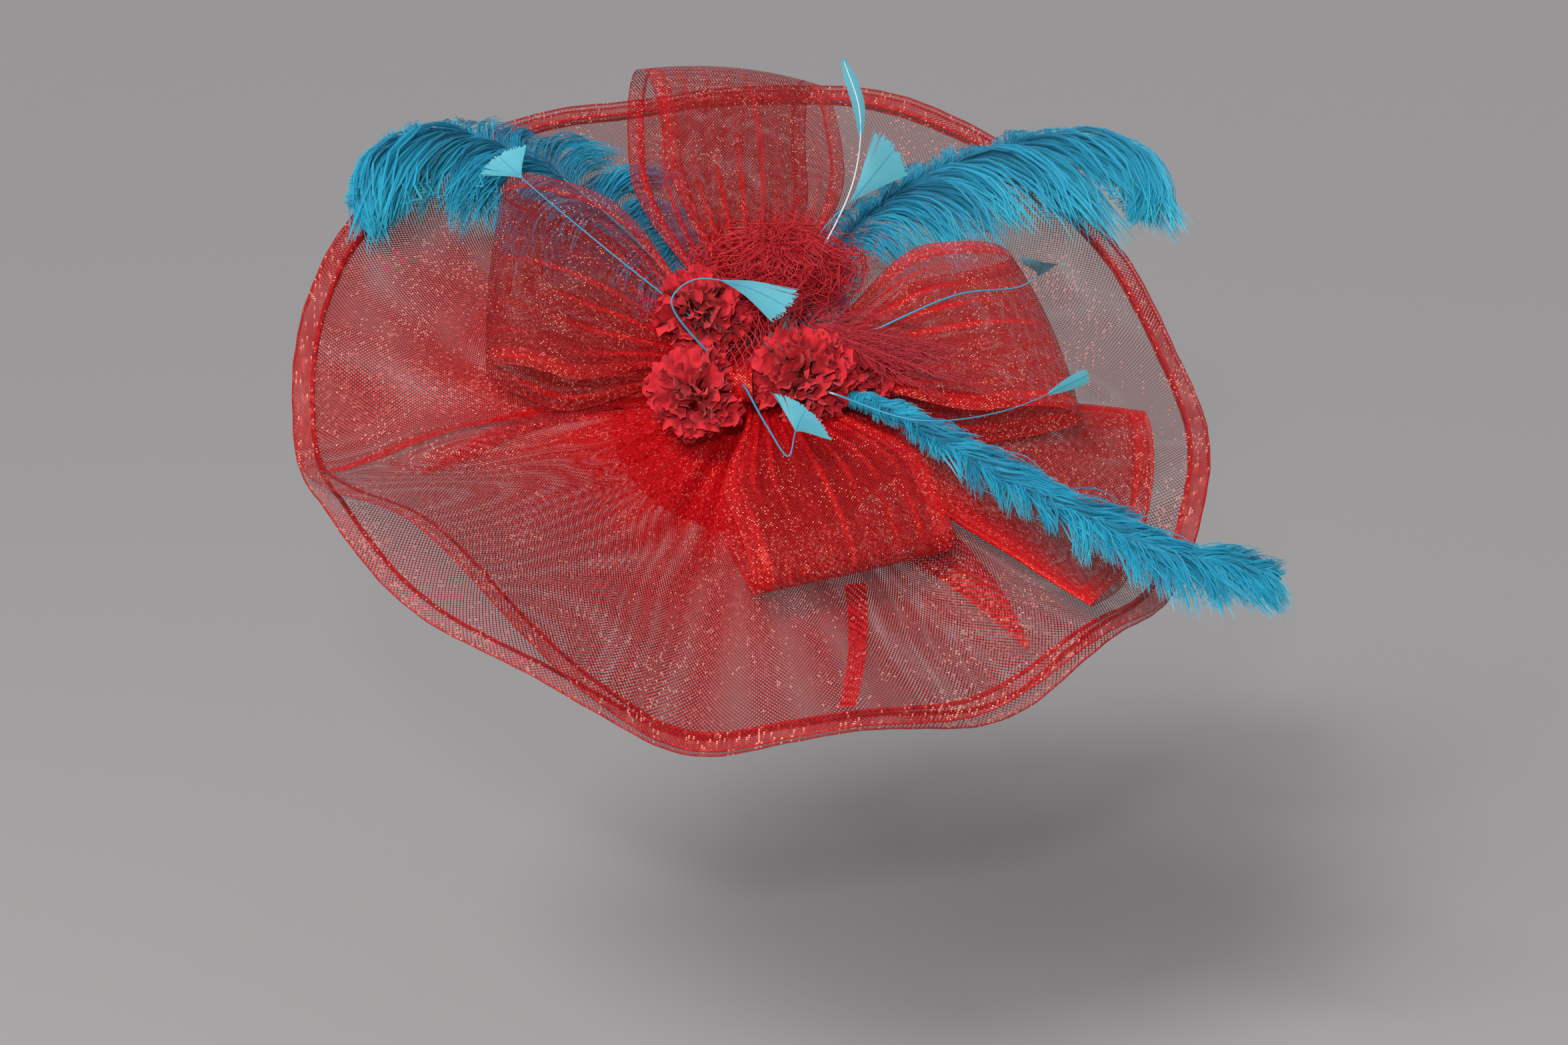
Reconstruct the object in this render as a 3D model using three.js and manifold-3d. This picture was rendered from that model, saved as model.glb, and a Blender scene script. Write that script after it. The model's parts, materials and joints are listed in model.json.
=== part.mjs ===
// A wide mesh fascinator: two wavy brim layers over a shallow cap, gathered under a knot
// that carries ribbon loops, plumes, stripped feathers and silk flowers.
// Hat frame: x to the right, y to the back, z along the brim's normal, zero at the brim's centre.
import * as THREE from 'three';
import { mergeVertices } from 'three/addons/utils/BufferGeometryUtils.js';
import Module from 'manifold-3d';

const wasm = await Module();
wasm.setup();

// Driving dimensions, in millimetres
const BRIM_RADIUS = 288;
const BRIM_WAVE = 78;
const CREASE_HEIGHT = 13;
const GATHER_HEIGHT = 3;
const LAYER_GAP = 4;
const MESH_WALL = 1.2;
const HEM_WIDTH = 14;
const HEM_WALL = 2.2;
const CAP_RADIUS = 88;
const CAP_RISE = 34;
const CAP_WALL = 2.5;
const STALK_RADIUS = 9;
const KNOT_RADIUS = 30;
const KNOT_HEIGHT = 24;
const RIBBON_WIDTH = 145;
const LOOP_LENGTH = 160;
const LOOP_DEPTH = 30;
const TINY_LOOP_LENGTH = 38;
const TINY_RIBBON_WIDTH = 14;
const FAN_LENGTH = 226;
const FAN_DEPTH = 16;
const PLUME_LENGTH = 330;
const FRINGE_LENGTH = 90;
const QUILL_RADIUS = 3;
const FEATHER_LENGTH = 180;
const STEM_RADIUS = 0.9;
const FEATHER_HEAD_WIDTH = 26;
const FLOWER_RADIUS = 29;
const NET_RADIUS = 56;
const WISP_LENGTH = 130;
const WISP_WIDTH = 5;
const COMB_WIDTH = 50;
const COMB_BACK = 8;
const COMB_WALL = 1.6;
const TOOTH_LENGTH = 26;
const TOOTH_WIDTH = 2;

// Clear space between pieces, and how the hat sits, in degrees
const CLEARANCE = 0.35;
const CROWD_CLEARANCE = 0.6;
const FORWARD_TILT = 32;
const SIDE_TILT = 6;
const COMB_ANGLE = 30;
const FAN_TURN = -22;
const FAN_HALF_ANGLE = 22;
const HACKLE_TURN = -34;
const HACKLE_RISE = 8;

// Counts
const BRIM_COLUMNS = 60;
const GATHER_COUNT = 12;
const TOOTH_COUNT = 9;
const WISP_COUNT = 5;

// Where the brim's folds start, as a share of its radius, and the power that they grow by
const FOLD_START = 0.25;
const FOLD_POWER = 1.6;

// The power that rounds the knot's sides
const KNOT_ROUNDING = 0.6;

// Folds of the brim's edge: place and spread in degrees, lift as a share of BRIM_WAVE
const EDGE_FOLDS = [
  { at: -166, spread: 10, lift: -0.28 },
  { at: -133, spread: 19, lift: 1 },
  { at: -97, spread: 8, lift: -0.18 },
  { at: -78, spread: 12, lift: 0.2 },
  { at: -46, spread: 11, lift: 0.28 },
  { at: -24, spread: 12, lift: -0.28 },
  { at: 14, spread: 14, lift: -0.22 },
  { at: 66, spread: 22, lift: 0.26 },
  { at: 108, spread: 12, lift: -0.08 },
  { at: 155, spread: 24, lift: 0.14 },
];

// Where the lower layer drops away from the upper one, as shares of BRIM_WAVE
const LAYER_OPENINGS = [
  { at: -134, spread: 16, drop: 0.9 },
  { at: -54, spread: 10, drop: 0.19 },
];

// Creases running outwards: from and to are shares of BRIM_RADIUS, lift of CREASE_HEIGHT
const CREASES = [
  { at: -159, spread: 5, from: 0.2, to: 0.92, lift: 1 },
  { at: -33, spread: 5, from: 0.28, to: 0.8, lift: 0.9 },
  { at: -51, spread: 4, from: 0.55, to: 0.93, lift: 0.5 },
];

// The join in the upper layer: azimuths in degrees, radii as shares of BRIM_RADIUS
const SEAM = { innerAt: -70, outerAt: -79, from: 0.6, to: 0.945 };

// Ribbon loops: turn, rise, roll and skew of the tip in degrees, base as a share of
// KNOT_HEIGHT, reach of LOOP_LENGTH, width of RIBBON_WIDTH, belly of LOOP_DEPTH, under
// as a share of the upper leaf's belly, pinch of the loop's own width
const LOOPS = [
  {
    name: 'loop_top', turn: 100, rise: 34, roll: 22, skew: 0,
    base: 0.75, reach: 1.1, width: 0.92, belly: 0.95, under: 0.8, pinch: 0.22,
  },
  {
    name: 'loop_left', turn: 163, rise: 8, roll: -7, skew: 17,
    base: 0.55, reach: 0.95, width: 1, belly: 1, under: 0.3, pinch: 0.24,
  },
  {
    name: 'loop_right', turn: 10, rise: 8, roll: 2, skew: 5,
    base: 0.62, reach: 1, width: 1, belly: 0.9, under: 0.3, pinch: 0.24,
  },
  {
    name: 'loop_front', turn: -72, rise: 6, roll: 0, skew: 4,
    base: 0.62, reach: 1, width: 0.88, belly: 0.85, under: 0.3, pinch: 0.3,
  },
];
const TINY_LOOP = {
  turn: -108, rise: 48, roll: 20, skew: 0, base: 0.85, belly: 1, under: 1, pinch: 0.6,
};

// Plumes: root as shares of KNOT_RADIUS, then stations along the quill, from the root. x and y
// are shares of PLUME_LENGTH, z of KNOT_HEIGHT, front and back, the fringe on each side, of
// FRINGE_LENGTH. hang is how far the front fringe turns from square to the quill to forwards.
const PLUMES = [
  {
    name: 'plume_left',
    hang: 0.9,
    root: { x: -0.77, y: 0.935 },
    stations: [
      { x: 0, y: 0, z: 0.45, front: 0.06, back: 0.06 },
      { x: -0.1, y: 0.155, z: 0.62, front: 0.2, back: 0.5 },
      { x: -0.24, y: 0.325, z: 0.7, front: 0.5, back: 0.75 },
      { x: -0.39, y: 0.455, z: 0.8, front: 1.05, back: 0.5 },
      { x: -0.54, y: 0.485, z: 0.95, front: 1.1, back: 0.25 },
      { x: -0.66, y: 0.405, z: 1.05, front: 0.75, back: 0.25 },
      { x: -0.72, y: 0.245, z: 1, front: 0.1, back: 0.1 },
    ],
  },
  {
    name: 'plume_right',
    hang: 0.8,
    root: { x: 0.66, y: 0.935 },
    stations: [
      { x: 0, y: 0, z: 0.45, back: 0.06, front: 0.06 },
      { x: 0.07, y: 0.225, z: 0.85, back: 0.15, front: 0.5 },
      { x: 0.2, y: 0.405, z: 1.05, back: 0.15, front: 0.9 },
      { x: 0.36, y: 0.515, z: 1.2, back: 0.15, front: 1.15 },
      { x: 0.51, y: 0.575, z: 1.3, back: 0.15, front: 1.25 },
      { x: 0.65, y: 0.555, z: 1.3, back: 0.2, front: 0.9 },
      { x: 0.73, y: 0.445, z: 1.2, back: 0.15, front: 0.3 },
    ],
  },
  {
    name: 'plume_low',
    hang: 0,
    root: { x: 1.045, y: -0.66 },
    stations: [
      { x: 0, y: 0, z: 1, back: 0.06, front: 0.06 },
      { x: 0.125, y: -0.11, z: 1.75, back: 0.3, front: 0.12 },
      { x: 0.285, y: -0.24, z: 1.95, back: 0.4, front: 0.25 },
      { x: 0.455, y: -0.35, z: 1.9, back: 0.35, front: 0.35 },
      { x: 0.605, y: -0.42, z: 1.8, back: 0.35, front: 0.4 },
      { x: 0.725, y: -0.44, z: 1.7, back: 0.45, front: 0.4 },
      { x: 0.815, y: -0.45, z: 1.65, back: 0.15, front: 0.15 },
    ],
  },
];

// Stripped feathers: points of the stem as shares of FEATHER_LENGTH, where the head
// starts along the stem, and its width as a share of FEATHER_HEAD_WIDTH
const FEATHERS = [
  {
    name: 'feather_far_left',
    headStart: 0.8,
    headWidth: 1.3,
    points: [
      [-0.1, 0.05, 0.13], [-0.28, 0.13, 0.23], [-0.57, 0.27, 0.37],
      [-0.84, 0.46, 0.46], [-0.95, 0.57, 0.48],
    ],
  },
  {
    name: 'feather_hook',
    headStart: 0.72,
    headWidth: 0.95,
    points: [
      [-0.09, -0.08, 0.12], [-0.17, -0.12, 0.25], [-0.33, -0.02, 0.41],
      [-0.26, 0.04, 0.46], [-0.1, 0.02, 0.47], [0.07, -0.05, 0.45],
    ],
  },
  {
    name: 'feather_upright',
    headStart: 0.5,
    headWidth: 0.45,
    points: [
      [0.05, 0.09, 0.13], [0.13, 0.24, 0.28], [0.27, 0.43, 0.61],
      [0.27, 0.55, 0.82], [0.2, 0.67, 0.95],
    ],
  },
  {
    name: 'feather_back',
    headStart: 0.7,
    headWidth: 1.3,
    points: [
      [0.08, 0.07, 0.13], [0.1, 0.21, 0.27], [0.18, 0.37, 0.42],
      [0.3, 0.47, 0.53], [0.42, 0.61, 0.63],
    ],
  },
  {
    name: 'feather_right',
    headStart: 0.83,
    headWidth: 1.2,
    points: [
      [0.12, 0.03, 0.13], [0.35, 0.05, 0.26], [0.66, 0.175, 0.36],
      [0.88, 0.235, 0.365], [0.93, 0.25, 0.4], [0.935, 0.2, 0.52],
    ],
  },
  {
    name: 'feather_low_right',
    headStart: 0.76,
    headWidth: 0.5,
    points: [
      [0.11, -0.08, 0.13], [0.22, -0.29, 0.3], [0.5, -0.45, 0.36],
      [0.79, -0.38, 0.36], [1.1, -0.18, 0.37],
    ],
  },
  {
    name: 'feather_front',
    headStart: 0.7,
    headWidth: 1.05,
    points: [
      [-0.06, -0.15, 0.12], [-0.07, -0.28, 0.29], [0, -0.54, 0.37],
      [0.07, -0.69, 0.39], [0.09, -0.6, 0.42], [0.12, -0.52, 0.44],
    ],
  },
];

// Silk flowers: centre as shares of FLOWER_RADIUS, with size and petal count
const FLOWERS = [
  { name: 'flower_back_left', x: -1.28, y: 0.8, z: 1.38, size: 1, petals: 7 },
  { name: 'flower_front_left', x: -1.38, y: -1.3, z: 1.05, size: 0.98, petals: 6 },
  { name: 'flower_front', x: 0.86, y: -0.95, z: 1.42, size: 1.02, petals: 9 },
  { name: 'flower_right', x: 2.35, y: -0.42, z: 1.25, size: 0.66, petals: 5 },
];
const FLOWER_SHAPE = { columns: 16, rows: 7, ruffle: 0.09, flatness: 0.78 };

// The crumpled net: centre and half sizes as shares of NET_RADIUS
const NET_CENTRE = { x: 0.12, y: 0.9, z: 1.03 };
const NET_SHAPE = { columns: 18, rows: 7, ruffle: 0.07, petals: 7, depth: 0.52, rise: 0.48 };

// Sizes that follow from the driving ones
const LOWER_LAYER = -LAYER_GAP;
const CAP_TOP = LOWER_LAYER - MESH_WALL / 2 - CLEARANCE;
const CAP_MOUTH = CAP_TOP - CAP_RISE;
const DOME_RADIUS = (CAP_RADIUS ** 2 + CAP_RISE ** 2) / (2 * CAP_RISE);
const DOME_CENTRE = CAP_TOP - DOME_RADIUS;
const KNOT_BASE = MESH_WALL / 2 + CLEARANCE;
const MESH_EDGE = BRIM_RADIUS - HEM_WIDTH - CLEARANCE;
const MESH_HOLE = STALK_RADIUS + CLEARANCE;
const GATHER_START = KNOT_RADIUS + 2;

const RED_MESH = { color: 0xc41a26, roughness: 0.35, metalness: 0 };
const RED_HEM = { color: 0xb3121e, roughness: 0.4, metalness: 0 };
const RED_SATIN = { color: 0xb80d14, roughness: 0.45, metalness: 0 };
const RED_SILK = { color: 0xc81e37, roughness: 0.85, metalness: 0 };
const TURQUOISE = { color: 0x1496be, roughness: 0.75, metalness: 0 };
const PALE_TURQUOISE = { color: 0x50bccd, roughness: 0.55, metalness: 0 };
const CLEAR_COMB = { color: 0x8a1018, roughness: 0.3, metalness: 0 };

const UP = new THREE.Vector3(0, 0, 1);
const FORWARDS = new THREE.Vector3(0, -1, 0);
const TOWARDS_VIEWER = new THREE.Vector3(0, -0.68, 0.73);

const radians = THREE.MathUtils.degToRad;

// Angle from one azimuth to another, in degrees between -180 and 180
function turnBetween(from, to) {
  return THREE.MathUtils.euclideanModulo(to - from + 180, 360) - 180;
}

function bell(distance, spread) {
  return Math.exp(-((distance / spread) ** 2));
}

function sumOfBells(rows, azimuth, column) {
  return rows.reduce((sum, row) => sum + row[column] * bell(turnBetween(row.at, azimuth), row.spread), 0);
}

// How far the edge's folds reach in towards the centre
function foldShare(radius) {
  const share = (radius / BRIM_RADIUS - FOLD_START) / (1 - FOLD_START);
  return Math.max(share, 0) ** FOLD_POWER;
}

function swell(value, from, to) {
  const share = THREE.MathUtils.clamp((value - from) / (to - from), 0, 1);
  return Math.sin(Math.PI * share);
}

function upperHeight(azimuth, radius) {
  const out = radius / BRIM_RADIUS;
  const edge = BRIM_WAVE * sumOfBells(EDGE_FOLDS, azimuth, 'lift') * foldShare(radius);
  const gathered = swell(radius, GATHER_START, 0.55 * BRIM_RADIUS);
  const gathers = GATHER_HEIGHT * gathered * Math.cos(GATHER_COUNT * radians(azimuth));
  const creases = CREASES.reduce((sum, crease) => {
    const across = bell(turnBetween(crease.at, azimuth), crease.spread);
    return sum + crease.lift * across * swell(out, crease.from, crease.to);
  }, 0);
  return edge + gathers + CREASE_HEIGHT * creases;
}

function lowerHeight(azimuth, radius) {
  const drop = BRIM_WAVE * sumOfBells(LAYER_OPENINGS, azimuth, 'drop') * foldShare(radius);
  return upperHeight(azimuth, radius) + LOWER_LAYER - drop;
}

function pointAt(azimuth, radius, height) {
  const angle = radians(azimuth);
  return new THREE.Vector3(radius * Math.cos(angle), radius * Math.sin(angle), height);
}

// A closed wall on both sides of a surface given as point(u, v), with u and v from 0 to 1.
// extra thickens it on every side, edges too.
function wall(point, columns, rows, thickness, wraps, extra = 0) {
  const step = 1e-3;
  const stride = rows + 1;
  const columnCount = wraps ? columns : columns + 1;
  const half = thickness / 2 + extra;
  const tops = [];
  const bottoms = [];
  for (let i = 0; i < columnCount; i++) {
    for (let j = 0; j < stride; j++) {
      const u = i / columns;
      const v = j / rows;
      const middle = point(u, v);
      const along = point(u + step, v).sub(point(u - step, v)).normalize();
      const across = point(u, v + step).sub(point(u, v - step)).normalize();
      const normal = new THREE.Vector3().crossVectors(along, across).normalize();
      if (!wraps && i === 0) middle.addScaledVector(along, -extra);
      if (!wraps && i === columns) middle.addScaledVector(along, extra);
      if (j === 0) middle.addScaledVector(across, -extra);
      if (j === rows) middle.addScaledVector(across, extra);
      tops.push(middle.clone().addScaledVector(normal, half));
      bottoms.push(middle.clone().addScaledVector(normal, -half));
    }
  }
  const top = (i, j) => (i % columnCount) * stride + j;
  const bottom = (i, j) => tops.length + top(i, j);
  const index = [];
  const quad = (a, b, c, d) => index.push(a, b, c, a, c, d);
  for (let i = 0; i < columns; i++) {
    for (let j = 0; j < rows; j++) {
      quad(top(i, j), top(i + 1, j), top(i + 1, j + 1), top(i, j + 1));
      quad(bottom(i, j), bottom(i, j + 1), bottom(i + 1, j + 1), bottom(i + 1, j));
    }
    quad(top(i + 1, 0), top(i, 0), bottom(i, 0), bottom(i + 1, 0));
    quad(top(i, rows), top(i + 1, rows), bottom(i + 1, rows), bottom(i, rows));
  }
  for (let j = 0; j < rows && !wraps; j++) {
    quad(top(0, j), top(0, j + 1), bottom(0, j + 1), bottom(0, j));
    quad(top(columns, j + 1), top(columns, j), bottom(columns, j), bottom(columns, j + 1));
  }
  return indexed([...tops, ...bottoms], index);
}

// A closed loft with four points to a station: left, top, right and bottom
function loft(stations) {
  const vertices = stations.flat();
  const index = [];
  for (let i = 0; i + 1 < stations.length; i++) {
    for (let k = 0; k < 4; k++) {
      const here = 4 * i + k;
      const beside = 4 * i + ((k + 1) % 4);
      index.push(here, beside, beside + 4, here, beside + 4, here + 4);
    }
  }
  const last = vertices.length - 4;
  index.push(0, 3, 2, 0, 2, 1);
  index.push(last, last + 1, last + 2, last, last + 2, last + 3);
  return indexed(vertices, index);
}

function indexed(vertices, index) {
  const geometry = new THREE.BufferGeometry().setFromPoints(vertices);
  geometry.setIndex(index);
  return geometry;
}

function bareMesh(geometry) {
  const bare = geometry.clone();
  bare.deleteAttribute('normal');
  bare.deleteAttribute('uv');
  return mergeVertices(bare, 1e-4);
}

function solidOf(geometry) {
  const bare = bareMesh(geometry);
  const vertProperties = new Float32Array(bare.attributes.position.array);
  const triVerts = new Uint32Array(bare.index.array);
  return new wasm.Manifold(new wasm.Mesh({ numProp: 3, vertProperties, triVerts }));
}

function geometryOf(solid) {
  const mesh = solid.getMesh();
  const geometry = new THREE.BufferGeometry();
  geometry.setAttribute('position', new THREE.BufferAttribute(mesh.vertProperties, 3));
  geometry.setIndex(new THREE.BufferAttribute(mesh.triVerts, 1));
  return geometry;
}

// What is left of a piece once its thickened neighbours are cut away: the largest body
function cutBy(geometry, neighbours) {
  const cut = neighbours.reduce((solid, other) => solid.subtract(solidOf(other)), solidOf(geometry));
  const bodies = cut.simplify(CROWD_CLEARANCE / 3).decompose();
  bodies.sort((a, b) => b.volume() - a.volume());
  return geometryOf(bodies[0]);
}

// A layer lies flat under the knot, in its first row, and spreads in the rows past it
function brimLayer(height) {
  const rows = 5;
  const point = (u, v) => {
    const past = Math.max(v - 1 / rows, 0) / (1 - 1 / rows);
    const flat = THREE.MathUtils.lerp(MESH_HOLE, GATHER_START, Math.min(v * rows, 1));
    const radius = flat + past * (MESH_EDGE - GATHER_START);
    return pointAt(360 * u, radius, height(360 * u, radius));
  };
  return wall(point, BRIM_COLUMNS, rows, MESH_WALL, true);
}

function hem(height) {
  const point = (u, v) => {
    const radius = BRIM_RADIUS - HEM_WIDTH * (1 - v);
    return pointAt(360 * u, radius, height(360 * u, radius));
  };
  return wall(point, BRIM_COLUMNS, 1, HEM_WALL, true);
}

// The join in the upper layer: a strip as wide as the hem, lying on the mesh
function seam() {
  const point = (u, v) => {
    const radius = THREE.MathUtils.lerp(SEAM.from, SEAM.to, u) * BRIM_RADIUS;
    const middle = THREE.MathUtils.lerp(SEAM.innerAt, SEAM.outerAt, u);
    const azimuth = middle + THREE.MathUtils.radToDeg(HEM_WIDTH / radius) * (v - 0.5);
    return pointAt(azimuth, radius, upperHeight(azimuth, radius) + 2 * CLEARANCE + MESH_WALL);
  };
  return wall(point, 9, 1, MESH_WALL, false);
}

function dome() {
  const steps = 4;
  const outerAngle = Math.asin(CAP_RADIUS / DOME_RADIUS);
  const innerRadius = DOME_RADIUS - CAP_WALL;
  const innerAngle = Math.acos((CAP_MOUTH - DOME_CENTRE) / innerRadius);
  const onArc = (radius, angle) =>
    new THREE.Vector2(radius * Math.sin(angle), DOME_CENTRE + radius * Math.cos(angle));
  const profile = [];
  for (let i = 0; i <= steps; i++) {
    profile.push(onArc(innerRadius, (innerAngle * i) / steps));
  }
  for (let i = steps; i >= 0; i--) {
    profile.push(onArc(DOME_RADIUS, (outerAngle * i) / steps));
  }
  return standingLathe(profile, 32);
}

function knot(extra = 0) {
  const steps = 5;
  const profile = [
    new THREE.Vector2(0, CAP_TOP + CLEARANCE - extra),
    new THREE.Vector2(STALK_RADIUS + extra, CAP_TOP + CLEARANCE - extra),
    new THREE.Vector2(STALK_RADIUS + extra, KNOT_BASE - extra),
    new THREE.Vector2(KNOT_RADIUS * 0.94 + extra, KNOT_BASE - extra),
  ];
  for (let i = 1; i <= steps; i++) {
    const angle = (Math.PI / 2) * (i / steps);
    const round = Math.cos(angle) ** KNOT_ROUNDING;
    const height = KNOT_BASE + KNOT_HEIGHT * Math.sin(angle) + extra;
    profile.push(new THREE.Vector2(i === steps ? 0 : KNOT_RADIUS * round + extra, height));
  }
  return standingLathe(profile, 20);
}

// A LatheGeometry turns round Y: stood up so that it turns round Z
function standingLathe(profile, segments) {
  return new THREE.LatheGeometry(profile, segments).rotateX(Math.PI / 2);
}

// Where a loop or feather leaves the knot, at a share of its height
function knotSide(azimuth, share, away) {
  const round = Math.sqrt(1 - share ** 2) ** KNOT_ROUNDING;
  return pointAt(azimuth, KNOT_RADIUS * round + away, KNOT_BASE + KNOT_HEIGHT * share);
}

// A ribbon that leaves the knot pinched, widens, turns over at its tip and comes back
function ribbonLoop(shape, extra = 0) {
  const ahead = new THREE.Vector3().setFromSphericalCoords(1, Math.PI / 2 - radians(shape.rise), 0);
  ahead.set(ahead.z, 0, ahead.y).applyAxisAngle(UP, radians(shape.turn));
  const aside = new THREE.Vector3(0, 1, 0).applyAxisAngle(UP, radians(shape.turn));
  aside.applyAxisAngle(ahead, radians(shape.roll));
  const upwards = new THREE.Vector3().crossVectors(ahead, aside);
  const start = knotSide(shape.turn, shape.base, CROWD_CLEARANCE + shape.thickness);
  const point = (u, v) => {
    const angle = 2 * Math.PI * THREE.MathUtils.lerp(0.05, 0.95, u);
    const out = (1 - Math.cos(angle)) / 2;
    const across = 2 * v - 1;
    const pinch = shape.pinch + (1 - shape.pinch) * THREE.MathUtils.smoothstep(out, 0, 0.65);
    const sideways = (shape.width * pinch * across) / 2;
    const skewed = sideways * out * Math.tan(radians(shape.skew));
    const pleats = 0.05 * (1 - out) ** 2 * Math.cos(2 * Math.PI * across);
    const droop = -0.12 * out * across ** 2;
    const side = Math.sin(angle) > 0 ? shape.under : 1;
    const leaf = -side * Math.sin(angle) * out ** 0.55 * shape.belly;
    const spread = 0.16 * (2 * u - 1);
    const rise = shape.depth * (leaf + spread + pleats + droop);
    return start
      .clone()
      .addScaledVector(ahead, shape.length * (out - 0.03 * out * across ** 2) - skewed)
      .addScaledVector(aside, sideways)
      .addScaledVector(upwards, rise);
  };
  return wall(point, shape.steps, shape.rows, shape.thickness, false, extra);
}

function bigLoop(row, extra) {
  const shape = {
    ...row,
    length: LOOP_LENGTH * row.reach,
    width: RIBBON_WIDTH * row.width,
    depth: LOOP_DEPTH,
    thickness: MESH_WALL,
    steps: 16,
    rows: 6,
  };
  return ribbonLoop(shape, extra);
}

function tinyLoop(extra) {
  const shape = {
    ...TINY_LOOP,
    length: TINY_LOOP_LENGTH,
    width: TINY_RIBBON_WIDTH,
    depth: TINY_LOOP_LENGTH / 3,
    thickness: MESH_WALL,
    steps: 12,
    rows: 1,
  };
  return ribbonLoop(shape, extra);
}

// A ribbon ring gathered at the knot and fanned out flat on the brim, open at its far end
function fan(extra = 0) {
  const start = KNOT_RADIUS + 2 * CLEARANCE + MESH_WALL;
  const point = (u, v) => {
    const angle = -2 * Math.PI * u;
    const radius = start + FAN_LENGTH * v * (1 - 0.06 * Math.cos(angle));
    const azimuth = FAN_TURN + FAN_HALF_ANGLE * Math.cos(angle);
    const thick = FAN_DEPTH * THREE.MathUtils.lerp(0.3, 0.5, v);
    const floor = upperHeight(azimuth, radius) + 2 * MESH_WALL + 4 * CLEARANCE;
    return pointAt(azimuth, radius, floor + thick * (1 + Math.sin(angle)));
  };
  return wall(point, 20, 5, MESH_WALL, true, extra);
}

// A plume's outer form: a quill with locks of fringe that point forwards on both sides
function plume(row, extra = 0) {
  const root = new THREE.Vector3(row.root.x * KNOT_RADIUS, row.root.y * KNOT_RADIUS, KNOT_BASE);
  const scale = new THREE.Vector3(PLUME_LENGTH, PLUME_LENGTH, KNOT_HEIGHT);
  const places = row.stations.map((s) => new THREE.Vector3(s.x, s.y, s.z).multiply(scale).add(root));
  const quill = new THREE.CatmullRomCurve3(places);
  const steps = 36;
  const fringe = (share, side) => {
    const place = share * (row.stations.length - 1);
    const low = Math.min(Math.floor(place), row.stations.length - 2);
    return THREE.MathUtils.lerp(row.stations[low][side], row.stations[low + 1][side], place - low);
  };
  const stations = [];
  for (let i = 0; i <= steps; i++) {
    const share = i / steps;
    const middle = quill.getPoint(share);
    const ahead = quill.getTangent(share);
    const aside = new THREE.Vector3().crossVectors(UP, ahead).normalize();
    const lock = i % 2 === 0 ? 1 : 0.8;
    const thick = QUILL_RADIUS * (1 - 0.6 * share) + 3 * extra;
    if (i === 0) middle.addScaledVector(ahead, -extra);
    if (i === steps) middle.addScaledVector(ahead, extra);
    const tip = (sign) => {
      const side = sign * aside.y < 0 ? 'front' : 'back';
      const outwards = aside.clone().multiplyScalar(sign);
      if (side === 'front') outwards.lerp(FORWARDS, row.hang).normalize();
      const reach = FRINGE_LENGTH * fringe(share, side) * lock;
      return middle
        .clone()
        .addScaledVector(outwards, reach + 4 * extra)
        .addScaledVector(ahead, 0.2 * reach)
        .addScaledVector(UP, -0.04 * reach);
    };
    const above = middle.clone().addScaledVector(UP, thick);
    const below = middle.clone().addScaledVector(UP, -thick);
    stations.push([tip(1), above, tip(-1), below]);
  }
  return loft(stations);
}

// A stripped feather: a bare stem that ends in a flat clipped head
function feather(row, extra = 0) {
  const places = row.points.map((p) => new THREE.Vector3(...p).multiplyScalar(FEATHER_LENGTH));
  const stem = new THREE.CatmullRomCurve3(places);
  const steps = 12;
  const stations = [];
  for (let i = 0; i <= steps; i++) {
    const share = i / steps;
    const middle = stem.getPoint(share);
    const ahead = stem.getTangent(share);
    const aside = new THREE.Vector3().crossVectors(TOWARDS_VIEWER, ahead).normalize();
    const out = new THREE.Vector3().crossVectors(ahead, aside);
    const head = THREE.MathUtils.clamp((share - row.headStart) / (1 - row.headStart), 0, 1);
    const leaf = Math.sin(Math.PI * (0.12 + 0.6 * head)) * (head > 0 ? 1 : 0);
    const wide = STEM_RADIUS + 2 * extra + (leaf * row.headWidth * FEATHER_HEAD_WIDTH) / 2;
    const thick = STEM_RADIUS * (1 - 0.4 * head) + 2 * extra;
    if (i === 0) middle.addScaledVector(ahead, -extra);
    if (i === steps) middle.addScaledVector(ahead, extra);
    stations.push([
      middle.clone().addScaledVector(aside, wide),
      middle.clone().addScaledVector(out, thick),
      middle.clone().addScaledVector(aside, -wide),
      middle.clone().addScaledVector(out, -thick),
    ]);
  }
  return loft(stations);
}

// A crumpled round body: a ball whose surface is drawn into ruffles
function ruffled(centre, radii, petals, shape, extra) {
  const ball = new THREE.SphereGeometry(1, shape.columns, shape.rows).rotateX(Math.PI / 2);
  const geometry = bareMesh(ball);
  const position = geometry.attributes.position;
  const place = new THREE.Vector3();
  for (let i = 0; i < position.count; i++) {
    place.fromBufferAttribute(position, i).normalize();
    const azimuth = Math.atan2(place.y, place.x);
    const flat = Math.hypot(place.x, place.y);
    const folds = Math.cos(petals * azimuth + 4 * place.z) + 0.7 * Math.sin(9 * place.z + 2 * azimuth);
    place.multiplyScalar(1 + shape.ruffle * folds * flat);
    const size = place.length();
    place.multiply(radii).addScaledVector(place.clone().normalize(), size * extra);
    place.add(centre);
    position.setXYZ(i, place.x, place.y, place.z);
  }
  return geometry;
}

function flower(row, extra = 0) {
  const centre = new THREE.Vector3(row.x, row.y, row.z).multiplyScalar(FLOWER_RADIUS);
  const radius = FLOWER_RADIUS * row.size;
  const radii = new THREE.Vector3(radius, radius, FLOWER_SHAPE.flatness * radius);
  return ruffled(centre, radii, row.petals, FLOWER_SHAPE, extra);
}

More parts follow.
